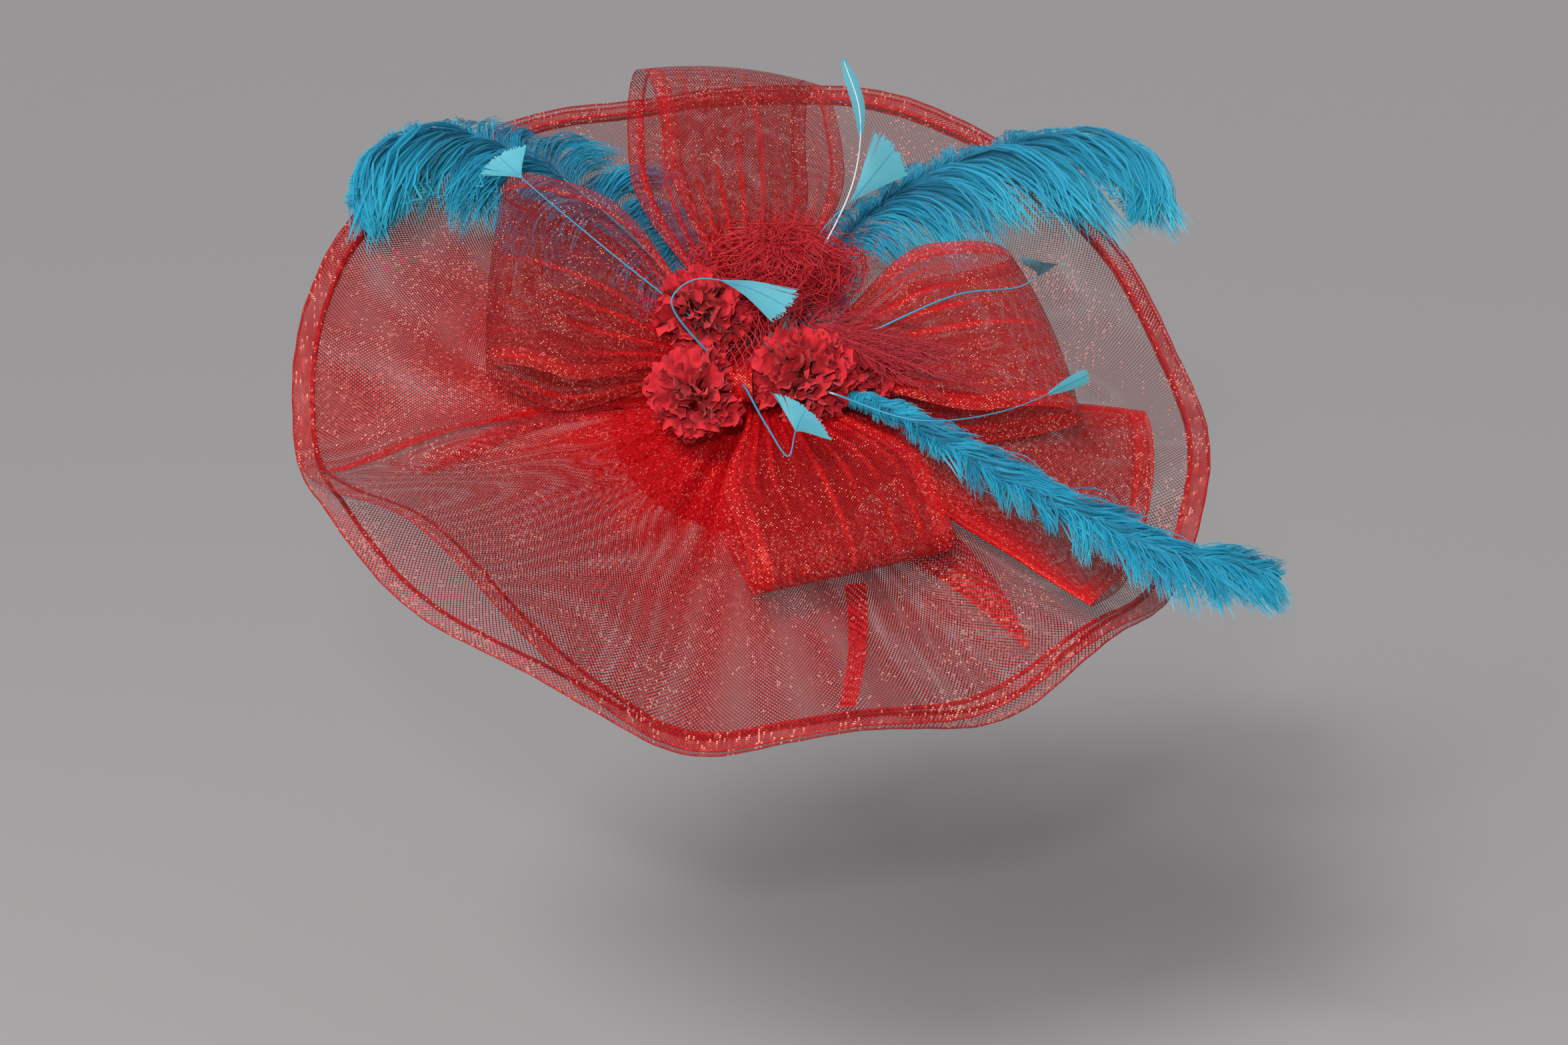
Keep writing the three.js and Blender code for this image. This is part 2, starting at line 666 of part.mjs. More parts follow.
function netMound(extra = 0) {
  const centre = new THREE.Vector3(NET_CENTRE.x, NET_CENTRE.y, NET_CENTRE.z).multiplyScalar(NET_RADIUS);
  const radii = new THREE.Vector3(1, NET_SHAPE.depth, NET_SHAPE.rise).multiplyScalar(NET_RADIUS);
  return ruffled(centre, radii, NET_SHAPE.petals, NET_SHAPE, extra);
}

// Wisps of a cock's hackle, joined at their root
function hackle() {
  const outline = new THREE.Shape([new THREE.Vector2(0, -WISP_WIDTH)]);
  for (let i = 0; i < WISP_COUNT; i++) {
    const angle = radians(7 * i - 14);
    const reach = WISP_LENGTH * (0.8 + 0.2 * Math.cos(2.4 * i));
    outline.lineTo(reach * Math.cos(angle), reach * Math.sin(angle));
    outline.lineTo(0.3 * WISP_LENGTH, WISP_WIDTH * (i - 1.5));
  }
  outline.lineTo(0, WISP_WIDTH);
  const geometry = new THREE.ExtrudeGeometry(outline, { depth: MESH_WALL, bevelEnabled: false });
  geometry.rotateY(-radians(HACKLE_RISE)).rotateZ(radians(HACKLE_TURN));
  return geometry.translate(0.9 * KNOT_RADIUS, 0.4 * KNOT_RADIUS, KNOT_BASE + 2 * KNOT_HEIGHT);
}

function comb() {
  const pitch = (COMB_WIDTH - TOOTH_WIDTH) / (TOOTH_COUNT - 1);
  const outline = new THREE.Shape([
    new THREE.Vector2(-COMB_WIDTH / 2, COMB_BACK + TOOTH_LENGTH),
    new THREE.Vector2(-COMB_WIDTH / 2, 0),
    new THREE.Vector2(COMB_WIDTH / 2, 0),
    new THREE.Vector2(COMB_WIDTH / 2, COMB_BACK + TOOTH_LENGTH),
  ]);
  for (let i = TOOTH_COUNT - 1; i > 0; i--) {
    const right = -COMB_WIDTH / 2 + i * pitch;
    const left = right - pitch + TOOTH_WIDTH;
    outline.lineTo(right, COMB_BACK + TOOTH_LENGTH);
    outline.lineTo(right, COMB_BACK);
    outline.lineTo(left, COMB_BACK);
    outline.lineTo(left, COMB_BACK + TOOTH_LENGTH);
  }
  const geometry = new THREE.ExtrudeGeometry(outline, { depth: COMB_WALL, bevelEnabled: false });
  return geometry.translate(0, -(COMB_BACK + TOOTH_LENGTH) / 2, 0);
}

// The comb lies flat inside the dome with its corners just clear of the wall
function combDistance() {
  const halfWidth = COMB_WIDTH / 2;
  const halfLength = (COMB_BACK + TOOTH_LENGTH) / 2;
  const corner = DOME_RADIUS - CAP_WALL - 4 * CLEARANCE;
  return Math.sqrt(corner ** 2 - halfWidth ** 2 - halfLength ** 2) - COMB_WALL;
}

const hat = new THREE.Group();
hat.position.z = -CAP_MOUTH;
const fascinator = new THREE.Group();
fascinator.rotation.set(radians(FORWARD_TILT), radians(SIDE_TILT), 0);
fascinator.add(hat);

function addPiece(name, geometry, look, parent = hat) {
  const mesh = new THREE.Mesh(geometry, new THREE.MeshStandardMaterial(look));
  mesh.name = name;
  parent.add(mesh);
}

addPiece('cap', dome(), RED_SATIN);
addPiece('brim_lower', brimLayer(lowerHeight), RED_MESH);
addPiece('brim_upper', brimLayer(upperHeight), RED_MESH);
addPiece('hem_lower', hem(lowerHeight), RED_HEM);
addPiece('hem_upper', hem(upperHeight), RED_HEM);
addPiece('brim_seam', seam(), RED_HEM);
addPiece('knot', knot(), RED_SATIN);

// Pieces that crowd round the knot: each is cut clear of the ones placed before it
const placed = [knot(CROWD_CLEARANCE)];

function addCrowded(name, build, look) {
  const geometry = cutBy(build(0), placed);
  placed.push(build(CROWD_CLEARANCE));
  addPiece(name, geometry, look);
}

for (const row of LOOPS) {
  addCrowded(row.name, (extra) => bigLoop(row, extra), RED_MESH);
}
addCrowded('loop_back', fan, RED_MESH);
addCrowded('loop_tiny', tinyLoop, RED_MESH);
for (const row of FEATHERS) {
  addCrowded(row.name, (extra) => feather(row, extra), PALE_TURQUOISE);
}
for (const row of PLUMES) {
  addCrowded(row.name, (extra) => plume(row, extra), TURQUOISE);
}
for (const row of FLOWERS) {
  addCrowded(row.name, (extra) => flower(row, extra), RED_SILK);
}
addCrowded('net_mound', netMound, RED_SILK);
addPiece('hackle', cutBy(hackle(), placed), RED_SILK);

const combArm = new THREE.Group();
combArm.position.z = DOME_CENTRE;
combArm.rotation.x = radians(COMB_ANGLE);
const combSeat = new THREE.Group();
combSeat.position.z = combDistance();
combArm.add(combSeat);
hat.add(combArm);
addPiece('comb', comb(), CLEAR_COMB, combSeat);

export default fascinator;
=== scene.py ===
"""A wide crinoline fascinator with ribbon loops, ostrich plumes, stripped feathers and silk flowers.

Everything is worked out in the brim's own frame, in metres: x to the right, y to the back, z along
the brim's normal, zero at the brim's centre. One matrix then sets it as the hat sits.
"""

import json
import math

import bmesh
import bpy
import numpy as np
from bpy.props import FloatProperty, FloatVectorProperty, IntProperty, PointerProperty
from mathutils import Matrix, Quaternion, Vector

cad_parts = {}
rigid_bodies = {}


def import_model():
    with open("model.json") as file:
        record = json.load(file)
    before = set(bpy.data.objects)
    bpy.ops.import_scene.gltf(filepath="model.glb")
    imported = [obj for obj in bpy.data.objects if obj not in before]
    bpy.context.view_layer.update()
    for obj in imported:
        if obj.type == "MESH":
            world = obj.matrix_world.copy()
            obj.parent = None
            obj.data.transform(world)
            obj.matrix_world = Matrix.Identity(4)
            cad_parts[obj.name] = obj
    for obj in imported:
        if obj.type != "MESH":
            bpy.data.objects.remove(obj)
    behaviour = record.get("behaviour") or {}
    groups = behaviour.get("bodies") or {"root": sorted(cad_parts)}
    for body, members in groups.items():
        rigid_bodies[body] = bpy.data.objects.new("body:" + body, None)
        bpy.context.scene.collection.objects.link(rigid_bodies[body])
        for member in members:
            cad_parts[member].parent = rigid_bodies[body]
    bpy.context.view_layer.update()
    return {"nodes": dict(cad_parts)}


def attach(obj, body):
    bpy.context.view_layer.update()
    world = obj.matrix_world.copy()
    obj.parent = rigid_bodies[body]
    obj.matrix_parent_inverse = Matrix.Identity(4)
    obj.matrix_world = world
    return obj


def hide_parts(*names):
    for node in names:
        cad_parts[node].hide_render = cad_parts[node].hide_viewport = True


bl_info = {
    "name": "Crinoline fascinator",
    "version": (1, 0, 0),
    "blender": (4, 5, 0),
    "location": "View3D > Sidebar > Fascinator",
    "description": "Dresses the fascinator's frame with mesh, ribbon loops, feathers and silk flowers",
    "category": "Add Mesh",
}

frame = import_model()

MM = 0.001

# How the hat sits
FORWARD_TILT = math.radians(32)
SIDE_TILT = math.radians(6)

# Folds of the brim's edge: place and spread in degrees, lift as a share of the brim's wave
EDGE_FOLDS = [
    {"at": -166, "spread": 10, "lift": -0.28},
    {"at": -133, "spread": 19, "lift": 1},
    {"at": -97, "spread": 8, "lift": -0.18},
    {"at": -78, "spread": 12, "lift": 0.2},
    {"at": -46, "spread": 11, "lift": 0.28},
    {"at": -24, "spread": 12, "lift": -0.28},
    {"at": 14, "spread": 14, "lift": -0.22},
    {"at": 66, "spread": 22, "lift": 0.26},
    {"at": 108, "spread": 12, "lift": -0.08},
    {"at": 155, "spread": 24, "lift": 0.14},
]

# Where the lower layer drops away from the upper one, as shares of the brim's wave
LAYER_OPENINGS = [
    {"at": -134, "spread": 16, "drop": 0.9},
    {"at": -54, "spread": 10, "drop": 0.19},
]

# Creases running outwards: from and to are shares of the brim's radius, lift of the crease height
CREASES = [
    {"at": -159, "spread": 5, "from": 0.2, "to": 0.92, "lift": 1},
    {"at": -33, "spread": 5, "from": 0.28, "to": 0.8, "lift": 0.9},
    {"at": -51, "spread": 4, "from": 0.55, "to": 0.93, "lift": 0.5},
]

# Tucks, where the mesh is folded on itself: azimuths in degrees, radii as shares of the brim's,
# widths as shares of the hem's, and how much of the space between threads they fill
TUCKS = [
    {"inner_at": -50, "outer_at": -53, "from": 0.57, "to": 0.92,
     "inner_width": 2.7, "outer_width": 0.25, "share": 0.42},
    {"inner_at": -167, "outer_at": -160, "from": 0.3, "to": 0.95,
     "inner_width": 1.6, "outer_width": 0.6, "share": 0.6},
    {"inner_at": -164, "outer_at": -151, "from": 0.33, "to": 0.8,
     "inner_width": 1.3, "outer_width": 0.5, "share": 0.4},
]
# The seam that joins the upper layer, with the same columns
SEAM = {
    "inner_at": -70, "outer_at": -79, "from": 0.6, "to": 0.945,
    "inner_width": 1, "outer_width": 0.7, "share": 0.5}

# How far the tucks and the seam lie above the upper layer
TUCK_LIFT = 1.2 * MM
SEAM_LIFT = 1.9 * MM

# Where the mesh is drawn up closer: place and spread in degrees, and how much denser it is
GATHERED = [
    {"at": 180, "spread": 50, "more": 1.5},
    {"at": -105, "spread": 46, "more": 1.2},
    {"at": -50, "spread": 30, "more": 0.6},
]

# Ribbon loops: turn, rise, roll and skew in degrees, base as a share of the knot's height,
# reach of the loop length, width of the ribbon's, belly of the loop depth, under of the belly,
# pinch of the loop's own width, and how much closer than flat ribbon the threads are drawn
LOOPS = [
    {"name": "top", "turn": 100, "rise": 34, "roll": 22, "skew": 0,
     "base": 0.75, "reach": 1.1, "width": 0.92, "belly": 0.95, "under": 0.8, "pinch": 0.22, "denser": 1.9},
    {"name": "left", "turn": 163, "rise": 8, "roll": -7, "skew": 17,
     "base": 0.55, "reach": 0.95, "width": 1, "belly": 1, "under": 0.3, "pinch": 0.24, "denser": 1.6},
    {"name": "right", "turn": 10, "rise": 8, "roll": 2, "skew": 5,
     "base": 0.62, "reach": 1, "width": 1, "belly": 0.9, "under": 0.3, "pinch": 0.24, "denser": 2.2},
    {"name": "front", "turn": -72, "rise": 6, "roll": 0, "skew": 4,
     "base": 0.62, "reach": 1, "width": 0.88, "belly": 0.85, "under": 0.3, "pinch": 0.3, "denser": 2.3},
]
TINY_LOOP = {
    "turn": -108, "rise": 48, "roll": 20, "skew": 0,
    "base": 0.85, "belly": 1, "under": 1, "pinch": 0.6, "denser": 3}

# The fanned loop: its middle and half its spread in degrees, and how close its threads are drawn
FAN_TURN = -22
FAN_HALF_ANGLE = 22
FAN_DENSER = 2.2

# Plumes: root as shares of the knot's radius, then stations along the quill, from the root. x and
# y are shares of the plume's length, z of the knot's height, front and back, the fringe on each
# side, of the fringe's length. hang is how far the front fringe turns from square to the quill to
# straight forwards, the leans how far the barbs sweep towards the quill's end, at root and end.
PLUMES = [
    {"name": "left", "hang": (0.9, 0.6), "front_lean": (0.3, 0.75), "back_lean": (-0.5, 0.6),
     "root": (-0.77, 0.935), "stations": [
        {"x": 0, "y": 0, "z": 0.45, "front": 0.06, "back": 0.1},
        {"x": -0.1, "y": 0.155, "z": 0.62, "front": 0.5, "back": 0.55},
        {"x": -0.24, "y": 0.325, "z": 0.7, "front": 1, "back": 0.7},
        {"x": -0.39, "y": 0.455, "z": 0.8, "front": 1.12, "back": 0.4},
        {"x": -0.54, "y": 0.485, "z": 0.95, "front": 1.05, "back": 0.22},
        {"x": -0.66, "y": 0.405, "z": 1.05, "front": 0.6, "back": 0.25},
        {"x": -0.72, "y": 0.245, "z": 1, "front": 0.12, "back": 0.1},
    ]},
    {"name": "right", "hang": (0.75, 0.1), "front_lean": (0.5, 1.15), "back_lean": (0.9, 1),
     "root": (0.66, 0.935), "stations": [
        {"x": 0, "y": 0, "z": 0.45, "back": 0.06, "front": 0.06},
        {"x": 0.07, "y": 0.225, "z": 0.85, "back": 0.2, "front": 0.75},
        {"x": 0.2, "y": 0.405, "z": 1.05, "back": 0.22, "front": 1.05},
        {"x": 0.36, "y": 0.515, "z": 1.2, "back": 0.22, "front": 1.15},
        {"x": 0.51, "y": 0.575, "z": 1.3, "back": 0.22, "front": 0.95},
        {"x": 0.65, "y": 0.555, "z": 1.3, "back": 0.22, "front": 0.5},
        {"x": 0.73, "y": 0.445, "z": 1.2, "back": 0.1, "front": 0.15},
    ]},
    {"name": "low", "hang": (0, 0), "front_lean": (1.35, 1.45), "back_lean": (1.2, 1.45),
     "root": (1.045, -0.66), "stations": [
        {"x": 0, "y": 0, "z": 1, "back": 0, "front": 0},
        {"x": 0.125, "y": -0.11, "z": 1.75, "back": 0.3, "front": 0.1},
        {"x": 0.285, "y": -0.24, "z": 1.95, "back": 0.4, "front": 0.27},
        {"x": 0.455, "y": -0.35, "z": 1.9, "back": 0.36, "front": 0.33},
        {"x": 0.605, "y": -0.42, "z": 1.8, "back": 0.38, "front": 0.44},
        {"x": 0.725, "y": -0.44, "z": 1.7, "back": 0.32, "front": 0.34},
        {"x": 0.815, "y": -0.45, "z": 1.65, "back": 0.06, "front": 0.06},
    ]},
]

# Stripped feathers: points of the stem as shares of the feather's length, where the head starts
# along the stem, its width as a share of the head width, how blunt its far end is, and how far
# the dye missed the stem
FEATHERS = [
    {"name": "far_left", "head": 0.8, "width": 1.3, "blunt": 1, "pale": 0.1, "points": [
        (-0.1, 0.05, 0.13), (-0.28, 0.13, 0.23), (-0.57, 0.27, 0.37),
        (-0.84, 0.46, 0.46), (-0.95, 0.57, 0.48)]},
    {"name": "hook", "head": 0.72, "width": 0.95, "blunt": 1, "pale": 0.1, "points": [
        (-0.09, -0.08, 0.12), (-0.17, -0.12, 0.25), (-0.33, -0.02, 0.41),
        (-0.26, 0.04, 0.46), (-0.1, 0.02, 0.47), (0.07, -0.05, 0.45)]},
    {"name": "upright", "head": 0.66, "width": 0.34, "blunt": 0, "pale": 0.62, "points": [
        (0.05, 0.09, 0.13), (0.13, 0.24, 0.28), (0.27, 0.43, 0.61), (0.27, 0.55, 0.82), (0.2, 0.67, 0.95)]},
    {"name": "back", "head": 0.7, "width": 1.3, "blunt": 1, "pale": 0.1, "points": [
        (0.08, 0.07, 0.13), (0.1, 0.21, 0.27), (0.18, 0.37, 0.42), (0.3, 0.47, 0.53), (0.42, 0.61, 0.63)]},
    {"name": "right", "head": 0.83, "width": 1.2, "blunt": 1, "pale": 0.1, "points": [
        (0.12, 0.03, 0.13), (0.35, 0.05, 0.26), (0.66, 0.175, 0.36),
        (0.88, 0.235, 0.365), (0.93, 0.25, 0.4), (0.935, 0.2, 0.52)]},
    {"name": "low_right", "head": 0.88, "width": 0.42, "blunt": 0.6, "pale": 0.3, "points": [
        (0.11, -0.08, 0.13), (0.22, -0.29, 0.3), (0.5, -0.45, 0.36),
        (0.79, -0.38, 0.36), (1.1, -0.18, 0.37)]},
    {"name": "front", "head": 0.8, "width": 1.7, "blunt": 1, "pale": 0.1, "points": [
        (-0.06, -0.15, 0.12), (-0.07, -0.28, 0.29), (0, -0.54, 0.37),
        (0.07, -0.69, 0.39), (0.09, -0.6, 0.42), (0.12, -0.52, 0.44)]},
]

# Silk flowers: centre as shares of the flower's radius, with its size and petal count
FLOWERS = [
    {"name": "back_left", "x": -1.28, "y": 0.8, "z": 1.38, "size": 1, "petals": 100},
    {"name": "front_left", "x": -1.38, "y": -1.3, "z": 1.05, "size": 0.98, "petals": 96},
    {"name": "front", "x": 0.86, "y": -0.95, "z": 1.42, "size": 1.02, "petals": 110},
    {"name": "right", "x": 2.35, "y": -0.42, "z": 1.25, "size": 0.66, "petals": 56},
]

# The crumpled net: centre and half sizes as shares of the net's radius, then its mounds, one in the
# other: size, and how many diamonds they have round and up
NET_CENTRE = (0.12, 0.9, 1.03)
NET_HALF_SIZES = (1, 0.52, 0.48)
MOUNDS = [
    {"size": 1.02, "round": 22, "up": 10},
    {"size": 0.85, "round": 24, "up": 10},
    {"size": 0.66, "round": 24, "up": 10},
    {"size": 0.45, "round": 20, "up": 8},
]
# Two flaps of net over the knot, in millimetres: the span of both directions, the height at the back,
# how far they fall to the front and at their sides, and the gap between them
FLAP = {"from": -38, "to": 44, "height": 54, "fall": 18, "sag": 10, "gap": 9}

# The hackle's own direction, and how steeply its wisps rise at their start and end, in degrees
HACKLE_TURN = -34
HACKLE_RISE = (14, -16)
# The hackle's wisps: turn from the hackle's own direction and bend, in degrees, and reach as a
# share of the wisp's length
WISPS = [
    {"turn": -14, "bend": 30, "reach": 0.8},
    {"turn": -8, "bend": 44, "reach": 1},
    {"turn": -5, "bend": 34, "reach": 0.9},
    {"turn": -2, "bend": 26, "reach": 0.7},
    {"turn": 3, "bend": 38, "reach": 0.93},
    {"turn": 8, "bend": 20, "reach": 0.62},
    {"turn": 12, "bend": 34, "reach": 0.86},
    {"turn": 18, "bend": 10, "reach": 0.7},
    {"turn": 26, "bend": -24, "reach": 0.6},
    {"turn": 58, "bend": -36, "reach": 0.55},
    {"turn": 84, "bend": 32, "reach": 0.5},
]

# Half the mesh's wall, and the gap between it and what it lies against
HALF_MESH_AND_GAP = 0.95 * MM
# The largest share of the space between two threads that one fills
FULLEST = 0.96
# A distance from the edge, in metres, that means there is no edge near
NO_EDGE = 1.0

# Places and sizes in metres and energies in watts, but for the sun, whose size is an angle in
# degrees and whose energy is in watts per square metre
LIGHTS = [
    {"name": "sun", "kind": "SUN", "place": (-0.9, -1.6, 2.2), "energy": 2, "size": 20},
    {"name": "softbox", "kind": "AREA", "place": (-1.3, -1.5, 1.5), "energy": 13, "size": 0.9},
    {"name": "camera_light", "kind": "AREA", "place": (-0.1, -2.1, 0.85), "energy": 22, "size": 0.14},
]
# The camera, its lens and sensor in millimetres
CAMERA_PLACE = (21.18 * MM, -2167.05 * MM, 522.06 * MM)
CAMERA_TILT = math.radians(75)
CAMERA_LENS = 50
CAMERA_SENSOR = 22.3
WORLD_COLOUR = "d8d8da"
WORLD_STRENGTH = 0.65


def to_linear(code):
    """The linear colour of an sRGB hex value, with alpha."""
    shares = [int(code[start:start + 2], 16) / 255 for start in (0, 2, 4)]
    return (*[s / 12.92 if s <= 0.04045 else ((s + 0.055) / 1.055) ** 2.4 for s in shares], 1.0)


def length(name, description, metres):
    """A length for the panel."""
    return FloatProperty(
        name=name, description=description, default=metres, min=0.0, unit="LENGTH", precision=4)


def colour(name, description, code):
    """A colour for the panel."""
    return FloatVectorProperty(
        name=name, description=description, default=to_linear(code), size=4, min=0.0, max=1.0,
        subtype="COLOR")


def count(name, description, number, least):
    """A count for the panel."""
    return IntProperty(name=name, description=description, default=number, min=least)


class FascinatorSizes(bpy.types.PropertyGroup):
    """Sizes of the fascinator's pieces."""

    brim_radius: length("Brim radius", "Centre of the brim to its outer edge", 288 * MM)
    brim_wave: length("Brim wave", "Height of the brim's tallest fold", 78 * MM)
    crease_height: length("Crease height", "Height of the tallest crease", 13 * MM)
    gather_height: length("Gather height", "Height of the gathers round the knot", 3 * MM)
    layer_gap: length("Layer gap", "Upper layer of mesh to the lower one", 4 * MM)
    hem_width: length("Hem width", "Width of the doubled hem", 14 * MM)
    hem_wall: length("Hem wall", "Thickness of the doubled hem", 1.8 * MM)
    ribbon_band: length("Ribbon band", "Width of the dense band along a ribbon's edge", 12 * MM)
    cell: length("Mesh cell", "Diagonal of a cell of the mesh", 2.8 * MM)
    ribbon_cell: length("Ribbon cell", "Diagonal of a cell of the ribbons, a closer weave", 2.1 * MM)
    thread: length("Thread", "Thickness of the thread", 0.22 * MM)
    cap_radius: length("Cap radius", "Radius of the cap's mouth", 88 * MM)
    cap_rise: length("Cap rise", "Mouth of the cap to its top", 34 * MM)
    cap_wall: length("Cap wall", "Thickness of the cap", 2.5 * MM)
    knot_radius: length("Knot radius", "Radius of the knot", 30 * MM)
    knot_height: length("Knot height", "Height of the knot above the brim", 24 * MM)
    ribbon_width: length("Ribbon width", "Width of the loops' ribbon", 145 * MM)
    loop_length: length("Loop length", "Knot to the tip of a loop", 160 * MM)
    loop_depth: length("Loop depth", "How far a loop stands open", 30 * MM)
    tiny_loop_length: length("Small loop length", "Knot to the tip of the small loop", 38 * MM)
    tiny_ribbon_width: length("Small ribbon width", "Width of the small loop's ribbon", 14 * MM)
    fan_length: length("Fan length", "Knot to the edge of the fanned loop", 226 * MM)
    fan_depth: length("Fan depth", "How far the fanned loop stands open", 16 * MM)
    plume_length: length("Plume length", "Scale of the plumes' quills", 330 * MM)
    fringe_length: length("Fringe length", "Length of a plume's barbs", 90 * MM)
    quill_radius: length("Quill radius", "Radius of a quill at its root", 1.3 * MM)
    feather_length: length("Feather length", "Scale of the stripped feathers", 180 * MM)
    stem_radius: length("Stem radius", "Radius of a stripped feather's stem", 0.8 * MM)
    head_width: length("Feather head width", "Width of a stripped feather's head", 26 * MM)
    flower_radius: length("Flower radius", "Radius of a silk flower", 29 * MM)
    net_radius: length("Net radius", "Half the width of the crumpled net", 56 * MM)
    wisp_length: length("Wisp length", "Length of the hackle's wisps", 130 * MM)


class FascinatorColours(bpy.types.PropertyGroup):
    """Colours of the fascinator's materials."""

    mesh: colour("Mesh", "Nylon thread of the mesh", "660910")
    hem: colour("Hem", "Nylon thread of the hems, where it lies double", "a00d16")
    # Painted light and shade: a brighter red painted where the mesh's threads are packed, and a darker red
    # painted as shade in the satin's blotches and the knot's hollows
    packed_glow_and_fold_shade: colour("Deep red", "Mesh where its threads are packed, and satin in its folds", "b0050f")
    # The glint colour tints the nylon's reflections, and is also painted on chosen crossings as a highlight
    glint: colour("Glint", "Light that the clear nylon throws back", "ff9c86")
    satin: colour("Satin", "Cap and knot", "ce060e")
    silk: colour("Silk", "Petals of the flowers", "c41022")
    silk_shade: colour("Silk in the folds", "Petals where they are creased", "9c0a1a")
    net: colour("Net", "Crumpled net", "c61122")
    hackle: colour("Hackle", "Red hackle", "ae1226")
    plume: colour("Plume", "Barbs of the plumes", "0e9abb")
    plume_deep: colour("Plume at the quill", "Barbs near the quill", "0a7092")
    plume_tip: colour("Plume tips", "Ends of the barbs", "38c2d6")
    quill: colour("Quill", "Quill of a plume", "0e6f80")
    vane: colour("Stripped feather", "Head of a stripped feather", "46a2b2")
    stem: colour("Stem", "Bare stem", "1f86a6")
    pale_stem: colour("Pale stem", "Stem where the dye took badly", "c9d6d8")
    comb: colour("Comb", "Clear comb", "8a1018")
    floor: colour("Floor", "Paper floor", "989595")


class FascinatorCounts(bpy.types.PropertyGroup):
    """Counts of what repeats, and the seed of what is random."""

    brim_columns: count("Brim columns", "Steps round the brim", 320, 24)
    brim_rows: count("Brim rows", "Steps from the knot to the hem", 84, 8)
    barbs: count("Barbs", "Barbs on each side of a plume", 1500, 10)
    locks: count("Locks", "Locks that a plume's barbs gather into", 38, 4)
    seed: count("Seed", "Start of every random draw", 7, 0)


def settings(context):
    """The panel's sizes, colours and counts."""
    scene = context.scene
    return scene.fascinator_sizes, scene.fascinator_colours, scene.fascinator_counts


def hat_matrix(sizes):
    """From the brim's own frame to the part's frame, whose origin is the cap's seat."""
    seat = -cap_top(sizes) + sizes.cap_rise
    tilt = Matrix.Rotation(FORWARD_TILT, 4, "X") @ Matrix.Rotation(SIDE_TILT, 4, "Y")
    return tilt @ Matrix.Translation((0, 0, seat))


def cap_top(sizes):
    """Height of the cap's top, just under the lower layer of mesh."""
    return -sizes.layer_gap - HALF_MESH_AND_GAP


def knot_base():
    """Height of the knot's underside, just above the upper layer of mesh."""
    return HALF_MESH_AND_GAP


def placed(sizes, points):
    """Points of the brim's own frame, in the part's frame."""
    matrix = np.array(hat_matrix(sizes))
    return points @ matrix[:3, :3].T + matrix[:3, 3]


def turned(sizes, vectors):
    """Directions of the brim's own frame, in the part's frame."""
    return vectors @ np.array(hat_matrix(sizes))[:3, :3].T


def unit(vectors):
    """Vectors of length one."""
    return vectors / np.maximum(np.linalg.norm(vectors, axis=-1, keepdims=True), 1e-12)


def bell(distance, spread):
    """1 at no distance, that falls off smoothly."""
    return np.exp(-(distance / spread) ** 2)


def turn_between(start, end):
    """Angle from one azimuth to another, in degrees between -180 and 180."""
    return (end - start + 180) % 360 - 180


def swell(value, start, end):
    """A smooth rise and fall between two values."""
    return np.sin(np.pi * np.clip((value - start) / (end - start), 0, 1))


def smoothstep(value, start, end):
    """A smooth rise from 0 to 1 between two values."""
    share = np.clip((value - start) / (end - start), 0, 1)
    return share * share * (3 - 2 * share)


def lerp(start, end, share):
    """The value at a share of the way."""
    return start + (end - start) * share


def sum_of_bells(rows, azimuth, column):
    """What a table's rows add up to at an azimuth."""
    return sum(row[column] * bell(turn_between(row["at"], azimuth), row["spread"]) for row in rows)


def stacked(*arrays):
    """Arrays spread to one shape, as the columns of points."""
    return np.stack(np.broadcast_arrays(*arrays), axis=-1)


def run_along(line):
    """How far each point of a line is from its start, along the line."""
    return np.concatenate([[0], np.cumsum(np.linalg.norm(np.diff(line, axis=0), axis=1))])


def fold_share(sizes, radius):
    """How far the edge's folds reach in towards the centre."""
    inner = 0.25
    return np.clip((radius / sizes.brim_radius - inner) / (1 - inner), 0, None) ** 1.6


def upper_height(sizes, azimuth, radius):
    """Height of the upper layer of mesh."""
    edge = sizes.brim_wave * sum_of_bells(EDGE_FOLDS, azimuth, "lift") * fold_share(sizes, radius)
    gathers_round = 12
    gathers = sizes.gather_height * swell(radius, sizes.knot_radius + 2 * MM, 0.55 * sizes.brim_radius)
    creases = sum(
        row["lift"] * bell(turn_between(row["at"], azimuth), row["spread"])
        * swell(radius / sizes.brim_radius, row["from"], row["to"])
        for row in CREASES)
    height = edge + gathers * np.cos(np.radians(gathers_round * azimuth)) + sizes.crease_height * creases
    return height + fine_relief(sizes, azimuth, radius)


def fine_relief(sizes, azimuth, radius):
    """Fine gathers round the knot, and the slight unevenness of steamed mesh further out."""
    angle = np.radians(azimuth)
    height = 0.9 * MM
    gathered = swell(radius, sizes.knot_radius + 2 * MM, 0.5 * sizes.brim_radius)
    gathers = height * gathered * np.cos(47 * angle + 1.5 * np.sin(5 * angle))
    outward = smoothstep(radius, 0.3 * sizes.brim_radius, 0.6 * sizes.brim_radius)
    ripples = np.sin(9 * angle + 2) * np.sin(radius * 70) + 0.6 * np.sin(17 * angle + radius * 60)
    return gathers + height * outward * ripples


def lower_height(sizes, azimuth, radius):
    """Height of the lower layer of mesh."""
    drop = sizes.brim_wave * sum_of_bells(LAYER_OPENINGS, azimuth, "drop") * fold_share(sizes, radius)
    return upper_height(sizes, azimuth, radius) - sizes.layer_gap - drop


def polar(azimuth, radius, height):
    """Points at azimuths in degrees, radii and heights."""
    angle = np.radians(azimuth)
    return stacked(radius * np.cos(angle), radius * np.sin(angle), height)


